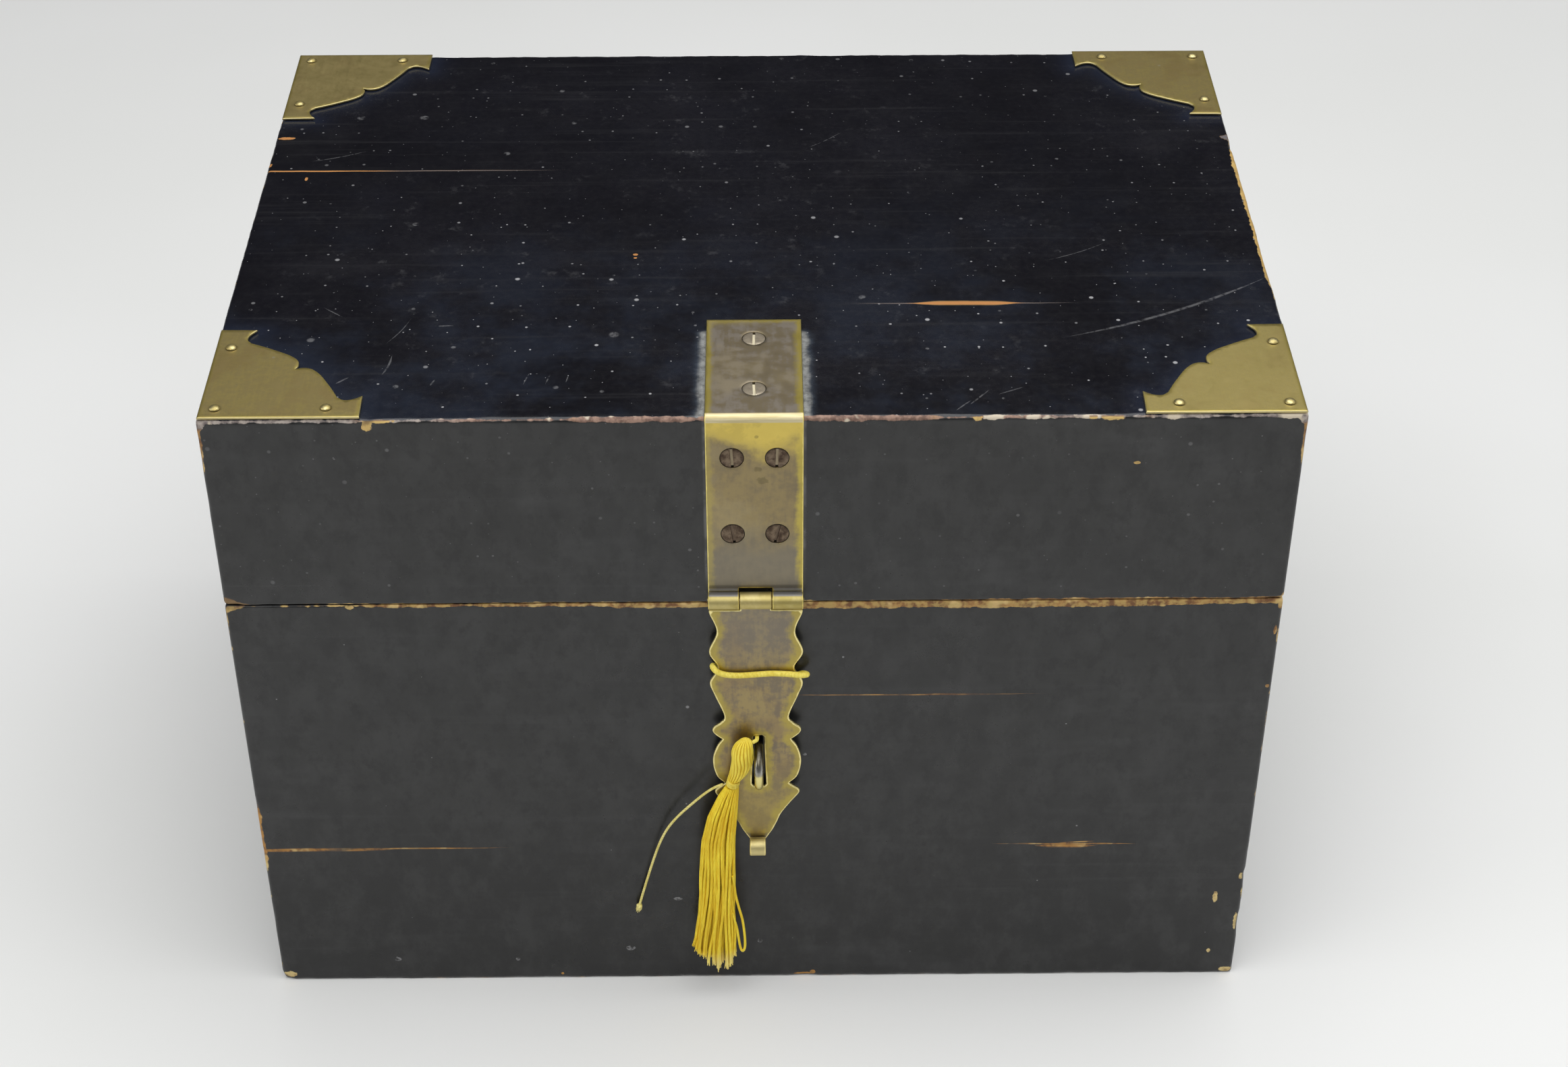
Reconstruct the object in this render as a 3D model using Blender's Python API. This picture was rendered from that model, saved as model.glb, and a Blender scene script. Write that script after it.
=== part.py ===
"""A lacquered wooden box with a lift-off lid, brass corner plates, a hasp and a silk tassel.

Metres, +Z up. The origin is the middle of the underside and the front faces -Y.
Distances called "off" are measured outwards from the box's front face.
"""
import math

import bmesh
import bpy
import numpy as np
from mathutils import Matrix, Vector

# The box
BOX_WIDTH = 0.350
BOX_DEPTH = 0.248
BOX_HEIGHT = 0.250
BODY_HEIGHT = 0.176
WALL = 0.010
BOTTOM_THICKNESS = 0.009
TOP_THICKNESS = 0.010
ARRIS_RADIUS = 0.0015
ARRIS_SEGMENTS = 3
SEAM_GAP = 0.0004
SEAM_CHAMFER = 0.0006

# The lip on the body's rim that locates the lid
LIP_HEIGHT = 0.006
LIP_THICKNESS = 0.0045
LIP_CLEARANCE = 0.0004

# Clearances between separate pieces
TOUCH_GAP = 0.0003
FASTENER_GAP = 0.0002
RUNNING_GAP = 0.0001
CUT_MARGIN = 0.005

# Corner plates and their nails
PLATE_SIZE = 0.051
PLATE_THICKNESS = 0.0008
PLATE_INSET = 0.0005
NAIL_HEAD_RADIUS = 0.0018
NAIL_HEAD_HEIGHT = 0.0009
NAIL_SHANK_RADIUS = 0.0007
NAIL_LENGTH = 0.0075
NAIL_CORNER_INSET = 0.0055
NAIL_REACH = 0.0405

# Hasp strap over the lid's front edge
HASP_OFFSET = 0.0003
HASP_WIDTH = 0.0312
STRAP_THICKNESS = 0.0012
STRAP_TOP_LENGTH = 0.0553
STRAP_BEND_RADIUS = 0.0018

# Screws through the strap
SCREW_HEAD_RADIUS = 0.0037
SCREW_HEAD_RIM = 0.0003
SCREW_SHANK_RADIUS = 0.0016
SCREW_LENGTH = 0.0085
SCREW_TIP_LENGTH = 0.0018
SCREW_SLOT_WIDTH = 0.0009
SCREW_SLOT_DEPTH = 0.0007
FRONT_SCREW_SPACING = 0.0144
SCREW_EDGE_DISTANCE = 0.0040
LOWER_SCREW_SHARE = 0.466
TOP_SCREW_SETBACKS = (0.0145, 0.0438)

# Hinge between the strap and the leaf
HINGE_ABOVE_SEAM = 0.0035
BARREL_RADIUS = 0.0029
PIN_RADIUS = 0.0012
PIN_OVERHANG = 0.0003
MIDDLE_KNUCKLE_WIDTH = 0.0104
KNUCKLE_GAP = 0.0003
NOTCH_RISE = 0.0010

# Hasp leaf
LEAF_LENGTH = 0.1042
LEAF_THICKNESS = 0.0012
LEAF_HALF_WIDTH = 0.0157
TONGUE_HALF_WIDTH = 0.0028
SCROLL_DROP = 0.0030
SCROLL_RADIUS = 0.0025
SCROLL_TURN = 280.0
SLOT_OFFSET = 0.0006
SLOT_TOP_DROP = 0.0583
SLOT_LENGTH = 0.0232
SLOT_TOP_WIDTH = 0.0036
SLOT_BOTTOM_WIDTH = 0.0050

# Staple
STAPLE_WIRE_RADIUS = 0.0015
STAPLE_END_CLEARANCE = 0.0026
STAPLE_REACH = 0.0142
STAPLE_LEG_DEPTH = 0.0060

# Tassel. Its places and the cords' are (X, off, height), with X and height from the slot's top.
HEAD_TOP = (-0.00475, 0.0080, -0.0004)
NECK_DIRECTION = (-0.0041, -0.0011, -0.0155)
HEAD_LENGTH = 0.0163
BINDING_LENGTH = 0.0028
BINDING_WRAPS = 4
BINDING_RADIUS = 0.0025
BINDING_RIDGE = 0.0002
SKIRT_STRANDS = 18
POINTS_PER_STRAND = 3
STRAND_RELIEF = 0.07

# Cords
HANGING_CORD_RADIUS = 0.0009
TAIL_THREAD_RADIUS = 0.00045
TAIL_KNOT_RADIUS = 0.0010

# Round shapes
ROUND_SEGMENTS = 24
SCREW_SEGMENTS = 16
NAIL_SEGMENTS = 8
TASSEL_SEGMENTS = 16
LEAF_EDGE_STEPS = 3
PLATE_EDGE_STEPS = 2
SCROLL_STEPS = 14

FRONT = -BOX_DEPTH / 2
LID_BOTTOM = BODY_HEIGHT + SEAM_GAP
STRAP_BACK = TOUCH_GAP
STRAP_FACE = STRAP_BACK + STRAP_THICKNESS
HINGE_OFF = STRAP_BACK + BARREL_RADIUS
HINGE_Z = BODY_HEIGHT + HINGE_ABOVE_SEAM
LEAF_BACK = HINGE_OFF - LEAF_THICKNESS / 2
LEAF_FACE = HINGE_OFF + LEAF_THICKNESS / 2
PIN_HOLE_RADIUS = PIN_RADIUS + RUNNING_GAP
PLATE_BOTTOM = BOX_HEIGHT + TOUCH_GAP
PLATE_TOP = PLATE_BOTTOM + PLATE_THICKNESS
STRAP_TOP = BOX_HEIGHT + STRAP_FACE
UPPER_SCREW_Z = BOX_HEIGHT - TOP_THICKNESS - TOUCH_GAP - SCREW_EDGE_DISTANCE
LOWER_SCREW_Z = HINGE_Z + LOWER_SCREW_SHARE * (UPPER_SCREW_Z - HINGE_Z)
SLOT_X = HASP_OFFSET + SLOT_OFFSET
SLOT_TOP = HINGE_Z - SLOT_TOP_DROP
SLOT_BOTTOM = SLOT_TOP - SLOT_LENGTH
STAPLE_TOP = SLOT_TOP - STAPLE_END_CLEARANCE - STAPLE_WIRE_RADIUS
STAPLE_BOTTOM = SLOT_BOTTOM + STAPLE_END_CLEARANCE + STAPLE_WIRE_RADIUS

# Leaf's edge: (share of its half width, share of its length below the hinge axis).
# Each list is one smooth stretch, and stretches meet in a corner.
LEAF_EDGE_SHARES = [
    [(0.975, 0.034), (0.975, 0.050), (0.829, 0.125), (1.000, 0.206), (0.815, 0.272),
     (0.994, 0.331), (0.904, 0.385), (0.700, 0.475), (0.955, 0.537)],
    [(0.955, 0.537), (0.890, 0.556), (0.745, 0.575)],
    [(0.745, 0.575), (0.880, 0.610), (0.968, 0.669), (0.890, 0.735), (0.700, 0.770)],
    [(0.700, 0.770), (0.770, 0.790), (0.892, 0.805)],
    [(0.892, 0.805), (0.650, 0.862), (0.490, 0.915), (0.318, 1.000)],
]

# Half of a corner plate's scalloped edge, as shares of its size, from the horn to the diagonal
PLATE_EDGE_SHARES = [
    [(0.996, 0.235), (0.935, 0.196), (0.880, 0.190), (0.840, 0.220)],
    [(0.840, 0.220), (0.800, 0.304), (0.749, 0.398), (0.698, 0.482), (0.639, 0.541),
     (0.580, 0.553), (0.537, 0.537)],
]

# Tassel head: (distance along its axis, radius), as shares of its length
HEAD_PROFILE_SHARES = [(0.010, 0.080), (0.060, 0.145), (0.145, 0.195), (0.265, 0.216), (0.400, 0.205),
                (0.560, 0.178), (0.740, 0.153), (0.900, 0.138), (1.000, 0.135)]

# Skirt's sections: (drop below the binding, shift in X, shift off, half width, half depth)
SKIRT_RINGS = [
    (0.0000, 0.0000, 0.0000, 0.0023, 0.0021),
    (0.0045, -0.0008, 0.0003, 0.0028, 0.0025),
    (0.0118, -0.0022, 0.0006, 0.0037, 0.0028),
    (0.0212, -0.0033, 0.0008, 0.0046, 0.0030),
    (0.0364, -0.0048, 0.0009, 0.0058, 0.0031),
    (0.0573, -0.0062, 0.0010, 0.0069, 0.0032),
    (0.0738, -0.0069, 0.0010, 0.0077, 0.0032),
]
SKIRT_LENGTH = 0.0803
SKIRT_END_DIP = 0.0085
SKIRT_END_RAGGED = 0.0016

# Hanging cord's route: from the tassel's head, through the slot, up behind the leaf, round its
# neck and back down behind it
HANGING_CORD_ROUTE = [
    (-0.00215, 0.00635, -0.00090), (-0.00145, 0.00600, -0.00070), (-0.00085, 0.00530, -0.00085),
    (-0.00060, 0.00440, -0.00110), (-0.00055, 0.00320, -0.00120), (-0.00075, 0.00190, -0.00085),
    (-0.00160, 0.00135, 0.00030), (-0.00310, 0.00130, 0.00300), (-0.00610, 0.00130, 0.00930),
    (-0.00940, 0.00130, 0.01780), (-0.01220, 0.00130, 0.02580), (-0.01400, 0.00135, 0.02960),
    (-0.01500, 0.00200, 0.03070), (-0.01520, 0.00330, 0.03100), (-0.01450, 0.00455, 0.03080),
    (-0.01330, 0.00500, 0.03010), (-0.01096, 0.00495, 0.02884), (-0.00713, 0.00495, 0.02822),
    (-0.00307, 0.00495, 0.02877), (0.00145, 0.00495, 0.02931), (0.00822, 0.00495, 0.02925),
    (0.01310, 0.00495, 0.02900), (0.01530, 0.00455, 0.02840), (0.01590, 0.00320, 0.02800),
    (0.01500, 0.00180, 0.02790), (0.01330, 0.00132, 0.02750), (0.01060, 0.00130, 0.02530),
    (0.00660, 0.00130, 0.01930), (0.00330, 0.00130, 0.01130), (0.00110, 0.00130, 0.00460),
    (0.00000, 0.00130, 0.00200),
]

# Tail thread's route, from the neck binding to its knot
TAIL_THREAD_ROUTE = [
    (-0.01250, 0.00655, -0.01970), (-0.01419, 0.00640, -0.02058), (-0.01679, 0.00600, -0.02243),
    (-0.02036, 0.00560, -0.02623), (-0.02422, 0.00500, -0.03117), (-0.02834, 0.00450, -0.03621),
    (-0.03227, 0.00400, -0.04194), (-0.03484, 0.00340, -0.04894), (-0.03697, 0.00300, -0.05616),
    (-0.03914, 0.00260, -0.06443), (-0.04109, 0.00220, -0.07280), (-0.04275, 0.00200, -0.07903),
    (-0.04325, 0.00195, -0.08170),
]


def clear_scene():
    """Remove whatever objects the file holds."""
    for obj in list(bpy.data.objects):
        bpy.data.objects.remove(obj, do_unlink=True)


def material(name, colour, roughness, metallic):
    """One Principled material."""
    made = bpy.data.materials.new(name)
    made.use_nodes = True
    shader = made.node_tree.nodes["Principled BSDF"]
    shader.inputs["Base Color"].default_value = (*colour, 1.0)
    shader.inputs["Roughness"].default_value = roughness
    shader.inputs["Metallic"].default_value = metallic
    made.diffuse_color = (*colour, 1.0)
    return made


def make_object(name, bm, mat=None, smooth_degrees=None):
    """Turn a bmesh into a linked object with outward faces."""
    bmesh.ops.recalc_face_normals(bm, faces=bm.faces)
    mesh = bpy.data.meshes.new(name)
    bm.to_mesh(mesh)
    bm.free()
    if mat:
        mesh.materials.append(mat)
    if smooth_degrees is not None:
        mesh.shade_smooth()
        mesh.set_sharp_from_angle(angle=math.radians(smooth_degrees))
    obj = bpy.data.objects.new(name, mesh)
    bpy.context.scene.collection.objects.link(obj)
    return obj


def combine(obj, bm, operation, smooth_degrees=None):
    """Cut a bmesh from an object, or join it on, and keep the result as its mesh."""
    tool = make_object(obj.name + "_tool", bm)
    boolean = obj.modifiers.new("Combine", "BOOLEAN")
    boolean.operation = operation
    boolean.object = tool
    bpy.context.view_layer.update()
    result = obj.evaluated_get(bpy.context.evaluated_depsgraph_get())
    before = obj.data
    mats = list(before.materials)
    obj.data = bpy.data.meshes.new_from_object(result)
    obj.modifiers.clear()
    obj.data.materials.clear()
    for mat in mats:
        obj.data.materials.append(mat)
    obj.data.polygons.foreach_set("material_index", [0] * len(obj.data.polygons))
    obj.data.name = obj.name
    if smooth_degrees is not None:
        obj.data.shade_smooth()
        obj.data.set_sharp_from_angle(angle=math.radians(smooth_degrees))
    bpy.data.objects.remove(tool, do_unlink=True)
    bpy.data.meshes.remove(before)


def block(low, high):
    """A box between two corners."""
    low, high = Vector(low), Vector(high)
    bm = bmesh.new()
    place = Matrix.Translation((low + high) / 2) @ Matrix.Diagonal((*(high - low), 1.0))
    bmesh.ops.create_cube(bm, size=1.0, matrix=place)
    return bm


def round_arrises(bm, planes, radius):
    """Round each edge that lies on two of the outer planes, given as (axis, position)."""
    def lies_on(edge, plane):
        return all(abs(v.co[plane[0]] - plane[1]) < 1e-6 for v in edge.verts)
    edges = [e for e in bm.edges if sum(lies_on(e, p) for p in planes) >= 2]
    bmesh.ops.bevel(bm, geom=edges, offset=radius, segments=ARRIS_SEGMENTS, profile=0.5,
                    affect="EDGES")


def rect_ring(profile):
    """A ring that follows the box's plan. The profile is a loop of (inset from the faces, Z)."""
    bm = bmesh.new()
    loops = []
    for inset, z in profile:
        x, y = BOX_WIDTH / 2 - inset, BOX_DEPTH / 2 - inset
        loops.append([bm.verts.new(c) for c in ((-x, -y, z), (x, -y, z), (x, y, z), (-x, y, z))])
    for i, loop in enumerate(loops):
        following = loops[(i + 1) % len(loops)]
        for j in range(4):
            k = (j + 1) % 4
            bm.faces.new((loop[j], loop[k], following[k], following[j]))
    return bm


def lathe(profile, segments, place=Matrix()):
    """Turn a profile of (radius, height) about +Z. A radius of 0 is a pole."""
    bm = bmesh.new()
    rings = []
    for radius, height in profile:
        count = segments if radius > 0 else 1
        ring = []
        for i in range(count):
            angle = 2 * math.pi * i / segments
            ring.append(bm.verts.new((radius * math.cos(angle), radius * math.sin(angle), height)))
        rings.append(ring)
    for upper, lower in zip(rings, rings[1:]):
        for i in range(segments):
            k = (i + 1) % segments
            corners = [upper[i % len(upper)], upper[k % len(upper)],
                       lower[k % len(lower)], lower[i % len(lower)]]
            bm.faces.new(list(dict.fromkeys(corners)))
    for ring in (rings[0], rings[-1]):
        if len(ring) > 1:
            bm.faces.new(ring)
    bmesh.ops.transform(bm, matrix=place, verts=bm.verts)
    return bm


def prism(outline, extent, axis):
    """Extrude a flat outline along X (outline of (off, Z)), Y (of (X, Z)) or Z (of (X, Y))."""
    def corner(point, along):
        if axis == "X":
            return (along, FRONT - point[0], point[1])
        if axis == "Y":
            return (point[0], FRONT - along, point[1])
        return (point[0], point[1], along)
    bm = bmesh.new()
    near = [bm.verts.new(corner(p, extent[0])) for p in outline]
    far = [bm.verts.new(corner(p, extent[1])) for p in outline]
    bm.faces.new(near)
    bm.faces.new(list(reversed(far)))
    for i in range(len(outline)):
        k = (i + 1) % len(outline)
        bm.faces.new((near[i], far[i], far[k], near[k]))
    bmesh.ops.recalc_face_normals(bm, faces=bm.faces)
    return bm


def x_cylinder(x_low, x_high, radius):
    """A cylinder along the hinge axis."""
    start = Matrix.Translation((x_low, FRONT - HINGE_OFF, HINGE_Z))
    turn = Matrix.Rotation(math.pi / 2, 4, "Y")
    return lathe([(radius, 0.0), (radius, x_high - x_low)], ROUND_SEGMENTS, start @ turn)


def catmull(points, steps):
    """A smooth curve through points, ending on both end points."""
    pts = [np.array(p, float) for p in points]
    pts = [2 * pts[0] - pts[1]] + pts + [2 * pts[-1] - pts[-2]]
    curve = []
    for a, b, c, d in zip(pts, pts[1:], pts[2:], pts[3:]):
        for i in range(steps):
            t = i / steps
            curve.append(0.5 * (2 * b + (c - a) * t + (2 * a - 5 * b + 4 * c - d) * t ** 2
                                + (3 * b - a - 3 * c + d) * t ** 3))
    return curve + [pts[-2]]


def edge_curve(stretches, steps):
    """Join smooth stretches that meet in corners into one run of points."""
    run = []
    for stretch in stretches:
        run.extend(catmull(stretch, steps)[:-1])
    run.append(np.array(stretches[-1][-1]))
    return [tuple(p) for p in run]


def arc(centre, radius, start, end, steps):
    """Points on an arc between two angles in degrees."""
    angles = np.radians(np.linspace(start, end, steps + 1))
    return [(centre[0] + radius * math.cos(a), centre[1] + radius * math.sin(a)) for a in angles]


def resample(points, spacing):
    """Points at an even spacing along a polyline."""
    pts = np.array(points)
    lengths = np.r_[0, np.cumsum(np.linalg.norm(np.diff(pts, axis=0), axis=1))]
    count = max(2, round(lengths[-1] / spacing) + 1)
    along = np.linspace(0, lengths[-1], count)
    return np.c_[[np.interp(along, lengths, pts[:, i]) for i in range(3)]].T


def from_route(route):
    """A route measured from the slot's top, as world points."""
    return [(SLOT_X + x, FRONT - off, SLOT_TOP + height) for x, off, height in route]


def tube(name, points, radius, mat, resolution=2):
    """A round cord or wire with capped ends along a run of points."""
    curve = bpy.data.curves.new(name, "CURVE")
    curve.dimensions = "3D"
    curve.bevel_depth = radius
    curve.bevel_resolution = resolution
    curve.use_fill_caps = True
    curve.materials.append(mat)
    spline = curve.splines.new("POLY")
    spline.points.add(len(points) - 1)
    for target, point in zip(spline.points, points):
        target.co = (*point, 1.0)
    obj = bpy.data.objects.new(name, curve)
    bpy.context.scene.collection.objects.link(obj)
    return obj


def screw_places():
    """Each screw's node name and its place: +Z out of the strap, the slot along local X."""
    places = []
    for row, z in (("upper", UPPER_SCREW_Z), ("lower", LOWER_SCREW_Z)):
        for side, sign in (("left", -1), ("right", 1)):
            at = Vector((HASP_OFFSET + sign * FRONT_SCREW_SPACING / 2, FRONT - STRAP_FACE, z))
            turn = Matrix.Rotation(math.pi / 2, 4, "X") @ Matrix.Rotation(math.pi / 2, 4, "Z")
            places.append((f"strap_screw_{row}_{side}", Matrix.Translation(at) @ turn))
    for row, setback in zip(("front", "rear"), TOP_SCREW_SETBACKS):
        at = Vector((HASP_OFFSET, FRONT + setback, STRAP_TOP))
        turn = Matrix.Rotation(math.pi / 2, 4, "Z")
        places.append((f"strap_screw_top_{row}", Matrix.Translation(at) @ turn))
    return places


def screw_profile(gap=0.0, top=0.0):
    """Countersunk screw from its head down, or with a gap, the hole that it fits."""
    cone = SCREW_HEAD_RADIUS - SCREW_SHANK_RADIUS
    shank = SCREW_SHANK_RADIUS + gap
    return [(0.0, top), (SCREW_HEAD_RADIUS + gap, top), (SCREW_HEAD_RADIUS + gap, -SCREW_HEAD_RIM),
            (shank, -SCREW_HEAD_RIM - cone), (shank, -SCREW_LENGTH + SCREW_TIP_LENGTH - gap),
            (0.0, -SCREW_LENGTH - gap)]


def corner_turns():
    """Each lid corner's name and the transform that takes a front-left corner there."""
    x, y = BOX_WIDTH / 2 - PLATE_INSET, BOX_DEPTH / 2 - PLATE_INSET
    corners = (("front_left", -x, -y, 0), ("front_right", x, -y, 90),
               ("back_right", x, y, 180), ("back_left", -x, y, 270))
    return [(name, Matrix.Translation((cx, cy, 0)) @ Matrix.Rotation(math.radians(turn), 4, "Z"))
            for name, cx, cy, turn in corners]


def nail_spots():
    """Nail places in a front-left plate, measured from its outer corner."""
    near, far = NAIL_CORNER_INSET - PLATE_INSET, NAIL_REACH - PLATE_INSET
    return (("corner", (near, near)), ("along", (far, near)), ("across", (near, far)))


def nail_places():
    """Each nail's node name and its place, on its plate's top face."""
    places = []
    for corner, turn in corner_turns():
        for spot, (x, y) in nail_spots():
            place = turn @ Matrix.Translation((x, y, PLATE_TOP))
            places.append((f"nail_{corner}_{spot}", place))
    return places


def nail_profile(gap=0.0):
    """Round-headed nail, or with a gap, the hole for its shank."""
    shank = NAIL_SHANK_RADIUS + gap
    if gap:
        return [(0.0, FASTENER_GAP), (shank, FASTENER_GAP), (shank, -NAIL_LENGTH - gap),
                (0.0, -NAIL_LENGTH - gap)]
    under = FASTENER_GAP
    dome = [(NAIL_HEAD_RADIUS * math.sin(a), under + NAIL_HEAD_HEIGHT * math.cos(a))
            for a in (math.radians(d) for d in (45, 90))]
    return [(0.0, under + NAIL_HEAD_HEIGHT), *dome, (shank, under),
            (shank, -NAIL_LENGTH + 2 * shank), (0.0, -NAIL_LENGTH)]


def staple_path():
    """The staple's wire: two legs out of the body joined by a half circle."""
    middle = (STAPLE_TOP + STAPLE_BOTTOM) / 2
    bend = (STAPLE_TOP - STAPLE_BOTTOM) / 2
    straight = STAPLE_REACH - STAPLE_WIRE_RADIUS - bend
    bow = arc((straight, middle), bend, 90, -90, 12)
    wire = [(-STAPLE_LEG_DEPTH, STAPLE_TOP)] + bow + [(-STAPLE_LEG_DEPTH, STAPLE_BOTTOM)]
    return [(SLOT_X, FRONT - off, z) for off, z in wire]


def staple_holes():
    """Blind holes in the body's front for the staple's two legs."""
    holes = []
    for z in (STAPLE_TOP, STAPLE_BOTTOM):
        radius = STAPLE_WIRE_RADIUS + TOUCH_GAP
        depth = CUT_MARGIN + STAPLE_LEG_DEPTH + TOUCH_GAP
        start = Matrix.Translation((SLOT_X, FRONT - CUT_MARGIN, z))
        turn = Matrix.Rotation(-math.pi / 2, 4, "X")
        holes.append(lathe([(radius, 0.0), (radius, depth)], SCREW_SEGMENTS, start @ turn))
    return holes


def lip_cut():
    """What is cut from the body's walls: all above the seam outside the lip, and the chamfer."""
    lip_inset = WALL - LIP_THICKNESS
    top = BODY_HEIGHT + LIP_HEIGHT + CUT_MARGIN
    return rect_ring([(lip_inset, BODY_HEIGHT), (SEAM_CHAMFER, BODY_HEIGHT),
                      (-CUT_MARGIN, BODY_HEIGHT - SEAM_CHAMFER - CUT_MARGIN),
                      (-CUT_MARGIN, top), (lip_inset, top)])


def rebate_cut():
    """What is cut from the lid's walls to clear the lip."""
    inset = WALL - LIP_THICKNESS - LIP_CLEARANCE
    x, y = BOX_WIDTH / 2 - inset, BOX_DEPTH / 2 - inset
    top = BODY_HEIGHT + LIP_HEIGHT + LIP_CLEARANCE
    return block((-x, -y, BODY_HEIGHT - CUT_MARGIN), (x, y, top))


def lid_chamfer_cut():
    """The small chamfer round the lid's lower outer edge."""
    below = LID_BOTTOM - CUT_MARGIN
    return rect_ring([(SEAM_CHAMFER, LID_BOTTOM),
                      (-CUT_MARGIN, LID_BOTTOM + SEAM_CHAMFER + CUT_MARGIN),
                      (-CUT_MARGIN, below), (SEAM_CHAMFER, below)])


def wall_boards(prefix, z_low, z_high, mat):
    """Front and back boards run the full width, and the side boards stand between them."""
    x, y = BOX_WIDTH / 2, BOX_DEPTH / 2
    inner_y = y - WALL - TOUCH_GAP
    spans = {"front": ((-x, -y, z_low), (x, -y + WALL, z_high)),
             "back": ((-x, y - WALL, z_low), (x, y, z_high)),
             "left": ((-x, -inner_y, z_low), (-x + WALL, inner_y, z_high)),
             "right": ((x - WALL, -inner_y, z_low), (x, inner_y, z_high))}
    outer = ((0, -x), (0, x), (1, -y), (1, y), (2, 0.0))
    boards = {}
    for side, (low, high) in spans.items():
        bm = block(low, high)
        round_arrises(bm, outer, ARRIS_RADIUS)
        boards[side] = make_object(f"{prefix}_{side}", bm, mat)
    return boards


def make_body(lacquer):
    """The body: four walls that carry the lip and the staple, and a bottom let in between them."""
    inset = WALL + TOUCH_GAP
    x, y = BOX_WIDTH / 2 - inset, BOX_DEPTH / 2 - inset
    make_object("body_bottom", block((-x, -y, 0.0), (x, y, BOTTOM_THICKNESS)), lacquer)
    boards = wall_boards("body", 0.0, BODY_HEIGHT + LIP_HEIGHT, lacquer)
    for board in boards.values():
        combine(board, lip_cut(), "DIFFERENCE")
    for hole in staple_holes():
        combine(boards["front"], hole, "DIFFERENCE")


def make_lid(lacquer):
    """The lid: a top board over four walls, bored for its screws and nails."""
    x, y = BOX_WIDTH / 2, BOX_DEPTH / 2
    top = block((-x, -y, BOX_HEIGHT - TOP_THICKNESS), (x, y, BOX_HEIGHT))
    round_arrises(top, ((0, -x), (0, x), (1, -y), (1, y), (2, BOX_HEIGHT)), ARRIS_RADIUS)
    lid_top = make_object("lid_top", top, lacquer)
    boards = wall_boards("lid", LID_BOTTOM, BOX_HEIGHT - TOP_THICKNESS - TOUCH_GAP, lacquer)
    for board in boards.values():
        combine(board, rebate_cut(), "DIFFERENCE")
        combine(board, lid_chamfer_cut(), "DIFFERENCE")
    for name, place in screw_places():
        board = lid_top if "top" in name else boards["front"]
        hole = lathe(screw_profile(FASTENER_GAP, CUT_MARGIN), SCREW_SEGMENTS, place)
        combine(board, hole, "DIFFERENCE")
    for name, place in nail_places():
        combine(lid_top, lathe(nail_profile(FASTENER_GAP), NAIL_SEGMENTS, place), "DIFFERENCE")


def make_corner_plates(brass):
    """Four flat plates with scalloped inner edges, each held by three nails."""
    half = edge_curve(PLATE_EDGE_SHARES, PLATE_EDGE_STEPS)
    mirrored = [(b, a) for a, b in reversed(half[:-1])]
    outline = [(0.0, 0.0), (1.0, 0.0)] + half + mirrored + [(0.0, 1.0)]
    outline = [(PLATE_SIZE * a, PLATE_SIZE * b) for a, b in outline]
    for corner, turn in corner_turns():
        bm = prism(outline, (PLATE_BOTTOM, PLATE_TOP), "Z")
        bmesh.ops.transform(bm, matrix=turn, verts=bm.verts)
        plate = make_object(f"corner_plate_{corner}", bm, brass)
        for name, place in nail_places():
            if corner in name:
                hole = lathe(nail_profile(FASTENER_GAP), NAIL_SEGMENTS, place)
                combine(plate, hole, "DIFFERENCE")
    for name, place in nail_places():
        make_object(name, lathe(nail_profile(), NAIL_SEGMENTS, place), brass, smooth_degrees=50)


def strap_outline():
    """Section of the strap as (off, Z): down the front, over the bend and back along the top."""
    bend_off = STRAP_FACE - STRAP_BEND_RADIUS
    bend_z = STRAP_TOP - STRAP_BEND_RADIUS
    inner = STRAP_BEND_RADIUS - STRAP_THICKNESS
    rear = -STRAP_TOP_LENGTH
    outer_bend = arc((bend_off, bend_z), STRAP_BEND_RADIUS, 0, 90, 6)
    inner_bend = arc((bend_off, bend_z), inner, 90, 0, 4)
    return ([(STRAP_FACE, HINGE_Z)] + outer_bend
            + [(rear, STRAP_TOP), (rear, STRAP_TOP - STRAP_THICKNESS)]
            + inner_bend + [(STRAP_BACK, HINGE_Z)])


def make_strap(brass):
    """The L-shaped strap with its two outer knuckles, cut for the leaf's knuckle and the screws."""
    left, right = HASP_OFFSET - HASP_WIDTH / 2, HASP_OFFSET + HASP_WIDTH / 2
    middle = MIDDLE_KNUCKLE_WIDTH / 2 + KNUCKLE_GAP
    bm = prism(strap_outline(), (left, right), "X")
    strap = make_object("hasp_strap", bm, brass)
    notch = block((HASP_OFFSET - middle, FRONT - HINGE_OFF, HINGE_Z - CUT_MARGIN),
                  (HASP_OFFSET + middle, FRONT + TOUCH_GAP, HINGE_Z + BARREL_RADIUS + NOTCH_RISE))
    combine(strap, notch, "DIFFERENCE")
    combine(strap, x_cylinder(left, HASP_OFFSET - middle, BARREL_RADIUS), "UNION")
    combine(strap, x_cylinder(HASP_OFFSET + middle, right, BARREL_RADIUS), "UNION")
    combine(strap, x_cylinder(left - CUT_MARGIN, right + CUT_MARGIN, PIN_HOLE_RADIUS), "DIFFERENCE")
    for _, place in screw_places():
        hole = lathe(screw_profile(FASTENER_GAP, CUT_MARGIN), SCREW_SEGMENTS, place)
        combine(strap, hole, "DIFFERENCE", smooth_degrees=30)


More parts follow.
